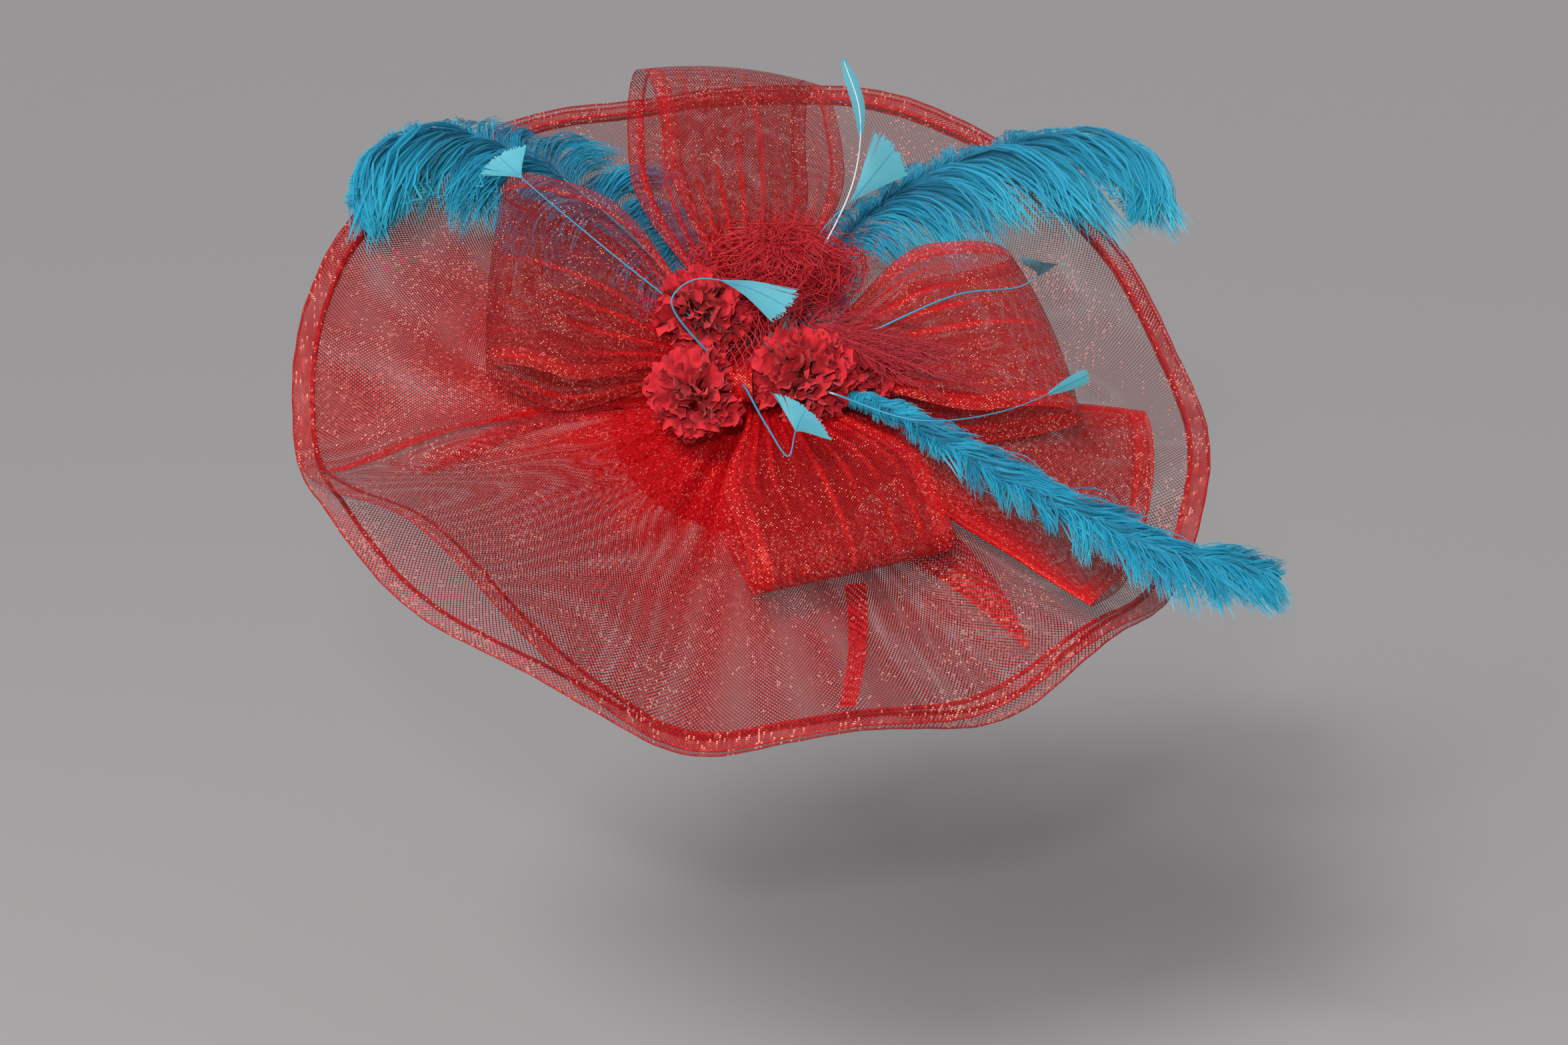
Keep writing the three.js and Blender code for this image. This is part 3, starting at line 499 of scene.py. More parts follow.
def smooth_path(points, count):
    """Points along a smooth curve through the given ones, which are spaced by the root of their distance."""
    points = np.array(points, float)
    ends = [2 * points[0] - points[1], 2 * points[-1] - points[-2]]
    knots = np.vstack([ends[0], points, ends[1]])
    steps = np.maximum(np.linalg.norm(np.diff(knots, axis=0), axis=1), 1e-9) ** 0.5
    places = np.linspace(0, len(points) - 1, count)
    low = np.minimum(places.astype(int), len(points) - 2)
    share = (places - low)[:, None]
    before, start, end, after = (knots[low + offset] for offset in range(4))
    step_before, step, step_after = (steps[low + offset][:, None] for offset in range(3))
    leaving = (start - before) / step_before - (end - before) / (step_before + step) + (end - start) / step
    arriving = (end - start) / step - (after - start) / (step + step_after) + (after - end) / step_after
    leaving, arriving = leaving * step, arriving * step
    square = -3 * start + 3 * end - 2 * leaving - arriving
    cube = 2 * start - 2 * end + leaving + arriving
    return start + leaving * share + square * share ** 2 + cube * share ** 3


def new_object(name, mesh, linked=True):
    """An object at the origin for a finished mesh."""
    piece = bpy.data.objects.new(name, mesh)
    if linked:
        bpy.context.scene.collection.objects.link(piece)
    return piece


def grid_mesh(name, points, cloth, values=None, wraps=(False, False), uv_name="weave"):
    """A smooth sheet through a grid of points, with its flat coordinates as a UV map and its values.

    In a direction that wraps, the last column or row repeats the first one's points.
    """
    columns, rows = points.shape[0] - 1, points.shape[1] - 1
    kept_columns = columns if wraps[0] else columns + 1
    kept_rows = rows if wraps[1] else rows + 1
    i, j = np.meshgrid(np.arange(columns), np.arange(rows), indexing="ij")
    corners_i = np.stack([i, i + 1, i + 1, i], axis=-1).reshape(-1, 4)
    corners_j = np.stack([j, j, j + 1, j + 1], axis=-1).reshape(-1, 4)
    faces = (corners_i % kept_columns) * kept_rows + corners_j % kept_rows
    mesh = bpy.data.meshes.new(name)
    mesh.from_pydata(points[:kept_columns, :kept_rows].reshape(-1, 3).tolist(), [], faces.tolist())
    layer = mesh.uv_layers.new(name=uv_name)
    layer.data.foreach_set("uv", cloth[corners_i, corners_j].astype(np.float32).ravel())
    for key, value in (values or {}).items():
        attribute = mesh.attributes.new(key, "FLOAT", "POINT")
        kept = np.broadcast_to(value, points.shape[:2])[:kept_columns, :kept_rows]
        attribute.data.foreach_set("value", kept.astype(np.float32).ravel())
    mesh.shade_smooth()
    return mesh


def joined(name, meshes):
    """One mesh of several."""
    parts = [new_object(name, mesh) for mesh in meshes]
    with bpy.context.temp_override(active_object=parts[0], selected_editable_objects=parts):
        bpy.ops.object.join()
    mesh = parts[0].data
    bpy.data.objects.remove(parts[0])
    mesh.name = name
    return mesh


def thread_share(sizes, points, cloth):
    """How much of the space between two threads one fills, where the cloth is gathered or spread."""
    along = np.linalg.norm(np.gradient(points, axis=0), axis=-1) / np.abs(np.gradient(cloth[..., 0], axis=0))
    across = np.linalg.norm(np.gradient(points, axis=1), axis=-1) / np.abs(np.gradient(cloth[..., 1], axis=1))
    spacing = 1 / np.sqrt(along ** -2 + across ** -2)
    return np.clip(sizes.thread / spacing, 0, FULLEST)


def set_up(name, mesh, node, material=None):
    """Makes a piece of a mesh, with its body, the CAD node that it stands for and material."""
    piece = new_object(name, mesh)
    if material:
        mesh.materials.clear()
        mesh.materials.append(material)
    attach(piece, "root")
    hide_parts(node)
    return piece


def add(tree, kind, inputs=(), output=0, **options):
    """Adds a node, fills its inputs with values or with sockets, and gives back one of its outputs."""
    node = tree.nodes.new(kind)
    for key, value in options.items():
        setattr(node, key, value)
    for key, value in inputs.items() if isinstance(inputs, dict) else enumerate(inputs):
        if isinstance(value, bpy.types.NodeSocket):
            tree.links.new(value, node.inputs[key])
        else:
            node.inputs[key].default_value = value
    return node.outputs[output]


def start_material(name, **constants):
    """A material with its shader's constant inputs set, and its node tree."""
    material = bpy.data.materials.new(name)
    material.use_nodes = True
    shader = material.node_tree.nodes["Principled BSDF"]
    for key, value in constants.items():
        shader.inputs[key.replace("_", " ")].default_value = value
    return material, material.node_tree


def finish_material(material, **sockets):
    """The material, with sockets linked to its shader's inputs."""
    tree = material.node_tree
    for key, socket in sockets.items():
        tree.links.new(socket, tree.nodes["Principled BSDF"].inputs[key.replace("_", " ")])
    return material


def blend(tree, value, start, end, first, second):
    """One colour up to a value's start, another from its end on, and a mix between."""
    share = add(tree, "ShaderNodeMapRange", {"Value": value, "From Min": start, "From Max": end})
    return add(tree, "ShaderNodeMix", {0: share, 6: first, 7: second}, 2, data_type="RGBA")


def shaded(tree, tint, value, darkest, lightest):
    """A colour made darker or lighter by a value between 0 and 1."""
    scale = add(tree, "ShaderNodeMapRange", {"Value": value, "To Min": darkest, "To Max": lightest})
    return add(tree, "ShaderNodeVectorMath", {0: tint[:3], "Scale": scale}, operation="SCALE")


def thread_mask(tree, across, share):
    """1 on threads that repeat once in every unit of a coordinate, 0 between them."""
    blur = 0.03
    place = add(tree, "ShaderNodeMath", [across], operation="FRACT")
    offset = add(tree, "ShaderNodeMath", [place, 0.5], operation="SUBTRACT")
    distance = add(tree, "ShaderNodeMath", [offset], operation="ABSOLUTE")
    half = add(tree, "ShaderNodeMath", [share, 0.5], operation="MULTIPLY")
    outside = add(tree, "ShaderNodeMath", [half, blur], operation="ADD")
    inside = add(tree, "ShaderNodeMath", [half, blur], operation="SUBTRACT")
    return add(tree, "ShaderNodeMapRange", {"Value": distance, "From Min": outside, "From Max": inside})


def crinoline(name, tint, colours, band, density):
    """Crinoline, woven on the bias from nylon thread: clear between threads that glint as they cross, with a
    highlight painted on some crossings.

    Its edges have a dense band with a cord on each side, laid out by the distance from the edge.
    """
    material, tree = start_material(
        name, IOR=1.53, Specular_IOR_Level=0.6, Specular_Tint=tuple(colours.glint))
    cloth = add(tree, "ShaderNodeUVMap", uv_map="weave")
    x = add(tree, "ShaderNodeSeparateXYZ", [cloth])
    y = x.node.outputs["Y"]
    warp = add(tree, "ShaderNodeMath", [x, y], operation="ADD")
    weft = add(tree, "ShaderNodeMath", [x, y], operation="SUBTRACT")
    plain_share = add(tree, "ShaderNodeAttribute", output="Fac", attribute_name="thread_share")
    edge = add(tree, "ShaderNodeAttribute", output="Fac", attribute_name="edge_distance")
    denser = add(tree, "ShaderNodeMapRange", {
        "Value": edge, "From Min": band + 0.3 * MM, "From Max": band - 0.3 * MM,
        "To Min": 1.0, "To Max": density})
    share = add(tree, "ShaderNodeMath", [plain_share, denser], operation="MULTIPLY")
    masks = [thread_mask(tree, threads, share) for threads in (warp, weft)]
    threads = add(tree, "ShaderNodeMath", masks, operation="MAXIMUM")
    outer_cord = add(tree, "ShaderNodeMath", [edge, 0.4 * MM, 0.7 * MM], operation="COMPARE")
    inner_cord = add(tree, "ShaderNodeMath", [edge, band - 1.4 * MM, 1.3 * MM], operation="COMPARE")
    cords = add(tree, "ShaderNodeMath", [outer_cord, inner_cord], operation="MAXIMUM")
    cord_cover = 0.72
    solid_cords = add(tree, "ShaderNodeMath", [cords, cord_cover], operation="MULTIPLY")
    woven = add(tree, "ShaderNodeMath", [threads, solid_cords], operation="MAXIMUM")
    # Some crossings stand out as knobs, in patches and along the edges: they are glossier, and a highlight is
    # painted on them in the glint colour. Real ones are 0.3 mm across, and are drawn about four times as
    # wide, to show
    knob_radius, sparse, dense, more_at_edge = 0.27, 0.985, 0.82, -0.06
    crossing = add(tree, "ShaderNodeCombineXYZ", [warp, weft])
    cell = add(tree, "ShaderNodeVectorMath", [crossing], operation="FLOOR")
    chance = add(tree, "ShaderNodeTexWhiteNoise", {"Vector": cell}, "Value", noise_dimensions="3D")
    within = add(tree, "ShaderNodeVectorMath", [crossing], operation="FRACTION")
    offset = add(tree, "ShaderNodeVectorMath", [within, (0.5, 0.5, 0.0)], operation="SUBTRACT")
    distance = add(tree, "ShaderNodeVectorMath", [offset], "Value", operation="LENGTH")
    near = add(tree, "ShaderNodeMath", [distance, knob_radius], operation="LESS_THAN")
    patches = add(tree, "ShaderNodeTexNoise", {"Vector": cloth, "Scale": 0.055, "Detail": 1.0})
    patched = add(tree, "ShaderNodeMapRange", {
        "Value": patches, "From Min": 0.5, "From Max": 0.68, "To Min": sparse, "To Max": dense})
    at_edge = add(tree, "ShaderNodeMath", [edge, band], operation="LESS_THAN")
    limit = add(tree, "ShaderNodeMath", [at_edge, more_at_edge, patched], operation="MULTIPLY_ADD")
    chosen = add(tree, "ShaderNodeMath", [chance, limit], operation="GREATER_THAN")
    knob_with_painted_glint = add(tree, "ShaderNodeMath", [near, chosen], operation="MULTIPLY")
    alpha = add(tree, "ShaderNodeMath", [woven, knob_with_painted_glint], operation="MAXIMUM")
    gloss = add(tree, "ShaderNodeMapRange", {"Value": knob_with_painted_glint, "To Min": 0.4, "To Max": 0.16})
    # Painted light: where the threads are packed they are given a brighter red, for the light they pass on to
    # each other, while a lone thread keeps the darker red and stands dark before the floor
    plain = blend(tree, share, 0.12, 0.5, tint, colours.packed_glow_and_fold_shade)
    # Painted highlight: a chosen knob takes the glint colour as its own
    tone = add(tree, "ShaderNodeMix", {0: knob_with_painted_glint, 6: plain, 7: colours.glint}, 2, data_type="RGBA")
    turn = chance.node.outputs["Color"]
    lean = add(tree, "ShaderNodeVectorMath", [turn, (0.5, 0.5, 0.5)], operation="SUBTRACT")
    tilt = add(tree, "ShaderNodeVectorMath", {0: lean, "Scale": 0.75}, operation="SCALE")
    straight = add(tree, "ShaderNodeNewGeometry", output="Normal")
    leaning = add(tree, "ShaderNodeVectorMath", [straight, tilt], operation="ADD")
    normal = add(tree, "ShaderNodeVectorMath", [leaning], operation="NORMALIZE")
    return finish_material(material, Alpha=alpha, Roughness=gloss, Base_Color=tone, Normal=normal)


def brim_layer(sizes, counts, name, height, extra_cells):
    """A layer of mesh from the knot's stalk to under the hem."""
    hole = 9.4 * MM
    edge = sizes.brim_radius - 0.8 * sizes.hem_width
    azimuth = np.linspace(0, 360, counts.brim_columns + 1)[:, None]
    radius = np.linspace(hole, edge, counts.brim_rows + 1)[None, :]
    points = polar(azimuth, radius, height(sizes, azimuth, radius))
    cells = round(2 * math.pi * sizes.brim_radius / sizes.cell) + extra_cells
    cloth = stacked(azimuth / 360 * cells, radius / sizes.cell)
    share = thread_share(sizes, points, cloth) * (1 + sum_of_bells(GATHERED, azimuth, "more"))
    values = {"thread_share": np.clip(share, 0, FULLEST), "edge_distance": NO_EDGE}
    return grid_mesh(name, placed(sizes, points), cloth, values, wraps=(True, False))


def strip(sizes, name, row, lift, steps=48):
    """A strip of mesh that lies on the upper layer, between two azimuths and radii."""
    along = np.linspace(0, 1, steps + 1)[:, None]
    across = np.linspace(-0.5, 0.5, 13)[None, :]
    radius = lerp(row["from"], row["to"], along) * sizes.brim_radius
    wide = lerp(row["inner_width"], row["outer_width"], along) * sizes.hem_width
    azimuth = lerp(row["inner_at"], row["outer_at"], along) + np.degrees(wide / radius) * across
    points = polar(azimuth, radius, upper_height(sizes, azimuth, radius) + lift)
    cloth = stacked(across * wide / sizes.cell, radius / sizes.cell)
    values = {"thread_share": row["share"], "edge_distance": NO_EDGE}
    return grid_mesh(name, placed(sizes, points), cloth, values)


class FASCINATOR_OT_brim(bpy.types.Operator):
    """Makes both layers of the brim's mesh, with the tucks in the upper one"""

    bl_idname = "fascinator.brim"
    bl_label = "Brim mesh"

    def execute(self, context):
        sizes, colours, counts = settings(context)
        material = crinoline("nylon_crinoline", colours.mesh, colours, sizes.hem_width, density=1)
        tucks = [strip(sizes, "tuck", row, TUCK_LIFT) for row in TUCKS]
        upper = brim_layer(sizes, counts, "upper_mesh", upper_height, extra_cells=0)
        lower = brim_layer(sizes, counts, "lower_mesh", lower_height, extra_cells=9)
        for name, node, mesh in (
                ("upper_mesh", "brim_upper", joined("upper_mesh", [upper, *tucks])),
                ("lower_mesh", "brim_lower", lower)):
            piece = set_up(name, mesh, node, material)
        return {"FINISHED"}


def hem_band(sizes, counts, name, height):
    """The brim's edge, doubled over: two plies that meet in a fold outside and a seam inside."""
    azimuth = np.linspace(0, 360, counts.brim_columns + 1)[:, None]
    around = np.linspace(0, 2 * math.pi, 25)[None, :]
    distance = sizes.hem_width * (0.5 - 0.5 * np.cos(around))
    thick = sizes.hem_wall / 2 * np.sign(np.sin(around)) * np.abs(np.sin(around)) ** 0.45
    pucker = 0.35 * MM * np.sin(np.radians(61 * azimuth)) * np.cos(np.radians(23 * azimuth))
    radius = sizes.brim_radius - distance + pucker
    points = polar(azimuth, radius, height(sizes, azimuth, radius) - thick)
    cells = round(2 * math.pi * sizes.brim_radius / sizes.cell)
    cloth = stacked(azimuth / 360 * cells, radius / sizes.cell)
    values = {"thread_share": math.sqrt(2) * sizes.thread / sizes.cell, "edge_distance": distance}
    return grid_mesh(name, placed(sizes, points), cloth, values, wraps=(True, True))


class FASCINATOR_OT_hems(bpy.types.Operator):
    """Makes the doubled hem of each layer and the seam that joins the upper one"""

    bl_idname = "fascinator.hems"
    bl_label = "Hems and seam"

    def execute(self, context):
        sizes, colours, counts = settings(context)
        material = crinoline("nylon_crinoline_hem", colours.hem, colours, sizes.hem_width, density=1.6)
        for name, node, height in (
                ("upper_hem", "hem_upper", upper_height),
                ("lower_hem", "hem_lower", lower_height)):
            set_up(name, hem_band(sizes, counts, name, height), node, material)
        seam = strip(sizes, "joining_seam", SEAM, SEAM_LIFT)
        set_up("joining_seam", seam, "brim_seam", material)
        return {"FINISHED"}


def knot_side(sizes, azimuth, share, away):
    """Where a loop leaves the knot, at a share of its height."""
    rounding = math.sqrt(1 - share ** 2) ** 0.6
    return polar(azimuth, sizes.knot_radius * rounding + away, knot_base() + sizes.knot_height * share)


def ribbon_loop(sizes, row, reach, ribbon, depth, pleats, columns=96, rows=48):
    """A ribbon that leaves the knot pinched, widens, turns over at its tip and comes back."""
    turn, rise = math.radians(row["turn"]), math.radians(row["rise"])
    ahead = Vector((math.cos(rise) * math.cos(turn), math.cos(rise) * math.sin(turn), math.sin(rise)))
    aside = Vector((-math.sin(turn), math.cos(turn), 0))
    aside.rotate(Quaternion(ahead, math.radians(row["roll"])))
    upwards = np.array(ahead.cross(aside))
    ahead, aside = np.array(ahead), np.array(aside)
    u = np.linspace(0, 1, columns + 1)[:, None, None]
    across = np.linspace(-1, 1, rows + 1)[None, :, None]
    angle = 2 * math.pi * lerp(0.05, 0.95, u)
    out = (1 - np.cos(angle)) / 2
    pinch = row["pinch"] + (1 - row["pinch"]) * smoothstep(out, 0, 0.65)
    sideways = ribbon * pinch * across / 2
    skewed = sideways * out * math.tan(math.radians(row["skew"]))
    soft_pleats = 0.05 * (1 - out) ** 2 * np.cos(2 * math.pi * across)
    droop = -0.12 * out * across ** 2
    side = np.where(np.sin(angle) > 0, row["under"], 1)
    leaf = -side * np.sin(angle) * out ** 0.55 * row["belly"]
    spread = 0.16 * (2 * u - 1)
    # Fine pleats drawn in by the knot, that open towards the tip
    phase = 9 * math.pi * across + 1.3 * np.sin(2.2 * across + 3 * u)
    fine_pleats = pleats * (1 - out) ** 1.3 * np.cos(phase)
    pressed = 1 + 1.6 * np.clip(np.cos(phase), 0, 1)[..., 0] ** 14 * (1 - out[..., 0]) ** 0.4
    rise_by = depth * (leaf + spread + soft_pleats + droop) + fine_pleats
    forwards = reach * (out - 0.03 * out * across ** 2) - skewed
    start = knot_side(sizes, row["turn"], row["base"], 1.8 * MM)
    points = start + forwards * ahead + sideways * aside + rise_by * upwards
    run = run_along(points[:, rows // 2])
    flat_across = across[..., 0] * ribbon / 2
    cloth = stacked(run[:, None], flat_across) / sizes.ribbon_cell
    share = thread_share(sizes, points, cloth) * row["denser"] * pressed
    values = {"thread_share": np.clip(share, 0, FULLEST), "edge_distance": ribbon / 2 - np.abs(flat_across)}
    return points, cloth, values, run[-1]


class FASCINATOR_OT_loops(bpy.types.Operator):
    """Makes the four ribbon loops round the knot and the small one in front of it"""

    bl_idname = "fascinator.loops"
    bl_label = "Ribbon loops"

    def execute(self, context):
        sizes, colours, _ = settings(context)
        material = crinoline(
            "nylon_crinoline_ribbon", colours.mesh, colours, sizes.ribbon_band, density=1.25)
        for row in LOOPS:
            name = f"ribbon_loop_{row['name']}"
            ribbon = sizes.ribbon_width * row["width"]
            reach = sizes.loop_length * row["reach"]
            points, cloth, values, run = ribbon_loop(
                sizes, row, reach, ribbon, sizes.loop_depth, pleats=1.6 * MM)
            mesh = grid_mesh(name, placed(sizes, points), cloth, values)
            piece = set_up(name, mesh, f"loop_{row['name']}", material)
        reach, ribbon = sizes.tiny_loop_length, sizes.tiny_ribbon_width
        points, cloth, values, run = ribbon_loop(
            sizes, TINY_LOOP, reach, ribbon, depth=reach / 3, pleats=0, columns=64, rows=8)
        mesh = grid_mesh("ribbon_loop_small", placed(sizes, points), cloth, values)
        piece = set_up("ribbon_loop_small", mesh, "loop_tiny", material)
        return {"FINISHED"}


def fanned_loop(sizes, columns=144, rows=56):
    """A ribbon ring gathered at the knot and fanned out flat on the brim, open at its far end."""
    u = np.linspace(0, 1, columns + 1)[:, None]
    v = np.linspace(0, 1, rows + 1)[None, :]
    angle = -2 * math.pi * u
    radius = sizes.knot_radius + 1.9 * MM + sizes.fan_length * v * (1 - 0.06 * np.cos(angle))
    azimuth = FAN_TURN + FAN_HALF_ANGLE * np.cos(angle)
    thick = sizes.fan_depth * lerp(0.3, 0.5, v)
    floor = upper_height(sizes, azimuth, radius) + 3.8 * MM
    gathers = 1.5 * MM * (1 - v) * np.cos(2 * math.pi * 17 * u)
    points = polar(azimuth, radius, floor + thick * (1 + np.sin(angle)) + gathers)
    girth = np.linalg.norm(np.diff(points[:, -1], axis=0), axis=1).sum()
    cells = round(girth / sizes.ribbon_cell)
    cloth = stacked(u * cells, v * sizes.fan_length / sizes.ribbon_cell)
    values = {
        "thread_share": np.clip(FAN_DENSER * thread_share(sizes, points, cloth), 0, FULLEST),
        "edge_distance": (1 - v) * sizes.fan_length,
    }
    return points, cloth, values, girth


class FASCINATOR_OT_fan(bpy.types.Operator):
    """Makes the loop that fans out flat on the brim"""

    bl_idname = "fascinator.fan"
    bl_label = "Fanned loop"

    def execute(self, context):
        sizes = context.scene.fascinator_sizes
        points, cloth, values, girth = fanned_loop(sizes)
        mesh = grid_mesh("fanned_loop", placed(sizes, points), cloth, values, wraps=(True, False))
        material = bpy.data.materials["nylon_crinoline_ribbon"]
        piece = set_up("fanned_loop", mesh, "loop_back", material)
        return {"FINISHED"}


def start_tree(name, sockets):
    """A geometry node tree with named inputs: the tree, its inputs' sockets and its output node."""
    tree = bpy.data.node_groups.new(name, "GeometryNodeTree")
    for label, kind in sockets:
        tree.interface.new_socket(label, in_out="INPUT", socket_type=kind)
    tree.interface.new_socket("Geometry", in_out="OUTPUT", socket_type="NodeSocketGeometry")
    return tree, tree.nodes.new("NodeGroupInput").outputs, tree.nodes.new("NodeGroupOutput")


def crumpled(tree, geometry, amount, scale):
    """Geometry whose points are each moved a little by a noise at their place."""
    noise = add(tree, "ShaderNodeTexNoise", {"Scale": scale, "Detail": 2.0}, "Color")
    centred = add(tree, "ShaderNodeVectorMath", [noise, (0.5, 0.5, 0.5)], operation="SUBTRACT")
    offset = add(tree, "ShaderNodeVectorMath", {0: centred, "Scale": amount}, operation="SCALE")
    return add(tree, "GeometryNodeSetPosition", {"Geometry": geometry, "Offset": offset})


def scatter_tree():
    """Sets one of several shapes on each point, aimed, raised and sized by the point's own vectors.

    Each is spun a random way about its aim, and a noise then crumples them all.
    """
    tree, given, result = start_tree("scatter", (
        ("Points", "NodeSocketGeometry"), ("Shapes", "NodeSocketCollection"), ("Spin", "NodeSocketFloat"),
        ("Crumple", "NodeSocketFloat"), ("Crumple scale", "NodeSocketFloat"), ("Seed", "NodeSocketInt"),
        ("Material", "NodeSocketMaterial")))
    aim, up, size = (
        add(tree, "GeometryNodeInputNamedAttribute", {"Name": name}, "Attribute", data_type="FLOAT_VECTOR")
        for name in ("aim", "up", "size"))
    shapes = add(tree, "GeometryNodeCollectionInfo", {
        "Collection": given["Shapes"], "Separate Children": True, "Reset Children": True})
    aimed = add(tree, "FunctionNodeAlignRotationToVector", {"Vector": aim}, axis="X")
    raised = add(tree, "FunctionNodeAlignRotationToVector", {
        "Rotation": aimed, "Vector": up}, axis="Z", pivot_axis="X")
    least = add(tree, "ShaderNodeMath", [given["Spin"], -1.0], operation="MULTIPLY")
    angle = add(tree, "FunctionNodeRandomValue", {2: least, 3: given["Spin"], 8: given["Seed"]}, 1)
    spin = add(tree, "FunctionNodeAxisAngleToRotation", {"Axis": (1, 0, 0), "Angle": angle})
    spun = add(tree, "FunctionNodeRotateRotation", [raised, spin], rotation_space="LOCAL")
    pick = add(tree, "FunctionNodeRandomValue", {4: 0, 5: 99, 8: given["Seed"]}, 2, data_type="INT")
    copies = add(tree, "GeometryNodeInstanceOnPoints", {
        "Points": given["Points"], "Instance": shapes, "Pick Instance": True,
        "Instance Index": pick, "Rotation": spun, "Scale": size})
    real = add(tree, "GeometryNodeRealizeInstances", [copies])
    moved = crumpled(tree, real, given["Crumple"], given["Crumple scale"])
    finished = add(tree, "GeometryNodeSetMaterial", {0: moved, "Material": given["Material"]})
    tree.links.new(finished, result.inputs[0])
    return tree


def strands_tree():
    """Makes round strands of edges, as thick as their points' girth, and tangles them by a noise."""
    tree, given, result = start_tree("strands", (
        ("Lines", "NodeSocketGeometry"), ("Sides", "NodeSocketInt"), ("Tangle", "NodeSocketFloat"),
        ("Tangle scale", "NodeSocketFloat"), ("Material", "NodeSocketMaterial")))
    moved = crumpled(tree, given["Lines"], given["Tangle"], given["Tangle scale"])
    girth = add(tree, "GeometryNodeInputNamedAttribute", {"Name": "girth"}, "Attribute", data_type="FLOAT")
    curves = add(tree, "GeometryNodeMeshToCurve", [moved])
    circle = add(tree, "GeometryNodeCurvePrimitiveCircle", {"Resolution": given["Sides"], "Radius": 1.0})
    tubes = add(tree, "GeometryNodeCurveToMesh", {
        "Curve": curves, "Profile Curve": circle, "Scale": girth, "Fill Caps": True})
    real = add(tree, "GeometryNodeRealizeInstances", [tubes])
    finished = add(tree, "GeometryNodeSetMaterial", {0: real, "Material": given["Material"]})
    tree.links.new(finished, result.inputs[0])
    return tree


def grow(name, carrier, tree, inputs):
    """The plain mesh that a node tree makes of a carrier mesh."""
    holder = new_object(name, carrier)
    modifier = holder.modifiers.new("grow", "NODES")
    modifier.node_group = tree
    for item in tree.interface.items_tree:
        if item.in_out == "INPUT" and item.name in inputs:
            modifier[item.identifier] = inputs[item.name]
    depsgraph = bpy.context.evaluated_depsgraph_get()
    evaluated = holder.evaluated_get(depsgraph)
    mesh = bpy.data.meshes.new_from_object(evaluated, preserve_all_data_layers=True, depsgraph=depsgraph)
    bpy.data.objects.remove(holder)
    mesh.name = name
    mesh.shade_smooth()
    return mesh


def strands(name, lines, girths, tree, material, sides=8, tangle=0.0, tangle_scale=1.0):
    """A mesh of round strands along lines."""
    return grow(name, line_mesh(name, lines, girths), tree, {
        "Sides": sides, "Tangle": tangle, "Tangle scale": tangle_scale, "Material": material})


def shape_set(name, meshes):
    """A collection of shapes that a node tree picks from, kept out of the scene."""
    shapes = bpy.data.collections.new(name)
    for mesh in meshes:
        shapes.objects.link(new_object(mesh.name, mesh, linked=False))
    return shapes


def discard(shapes):
    """Removes a collection of shapes that has been used."""
    for shape in list(shapes.objects):
        bpy.data.objects.remove(shape)
    bpy.data.collections.remove(shapes)


def point_cloud(name, points, vectors, values):
    """Loose points that carry vectors and values."""
    mesh = bpy.data.meshes.new(name)
    mesh.from_pydata(points.tolist(), [], [])
    for key, rows in vectors.items():
        attribute = mesh.attributes.new(key, "FLOAT_VECTOR", "POINT")
        attribute.data.foreach_set("vector", rows.astype(np.float32).ravel())
    for key, row in values.items():
        mesh.attributes.new(key, "FLOAT", "POINT").data.foreach_set("value", row.astype(np.float32))
    return mesh


def line_mesh(name, lines, girths):
    """Lines of points, each with the girth at its points."""
    starts = np.cumsum([0] + [len(line) for line in lines])
    edges = np.concatenate([
        np.stack([np.arange(start, start + len(line) - 1), np.arange(start + 1, start + len(line))], axis=1)
        for start, line in zip(starts, lines)])
    mesh = bpy.data.meshes.new(name)
    mesh.from_pydata(np.concatenate(lines).tolist(), edges.tolist(), [])
    girth = np.concatenate([np.broadcast_to(row, len(line)) for row, line in zip(girths, lines)])
    mesh.attributes.new("girth", "FLOAT", "POINT").data.foreach_set("value", girth.astype(np.float32))
    return mesh


def welded(mesh):
    """The mesh with the points that meet at a pole or seam made one."""
    shell = bmesh.new()
    shell.from_mesh(mesh)
    bmesh.ops.remove_doubles(shell, verts=shell.verts, dist=0.001 * MM)
    bmesh.ops.recalc_face_normals(shell, faces=shell.faces)
    shell.to_mesh(mesh)
    shell.free()
    return mesh


def satin(name, tint, deep):
    """Satin, closely woven silk: a soft sheen across fine threads, and painted shade in random blotches that
    stand for its folds.
    """
    material, tree = start_material(name, Roughness=0.42, IOR=1.5, Sheen_Weight=0.4, Sheen_Roughness=0.35)
    cloth = add(tree, "ShaderNodeUVMap", uv_map="weave")
    place = add(tree, "ShaderNodeTexCoord", output="Object")
    threads = add(tree, "ShaderNodeTexWave", {
        "Vector": cloth, "Scale": 1.6, "Distortion": 1.5, "Detail": 2.0}, "Fac", bands_direction="X")
    blotches = add(tree, "ShaderNodeTexNoise", {"Vector": place, "Scale": 45.0, "Detail": 3.0})
    # Painted shade: darker in random blotches, which stand for the satin's folds
    tone = blend(tree, blotches, 0.35, 0.7, tint, deep)
    bump = add(tree, "ShaderNodeBump", {"Height": threads, "Strength": 0.5, "Distance": 0.25 * MM})
    return finish_material(material, Base_Color=tone, Normal=bump)


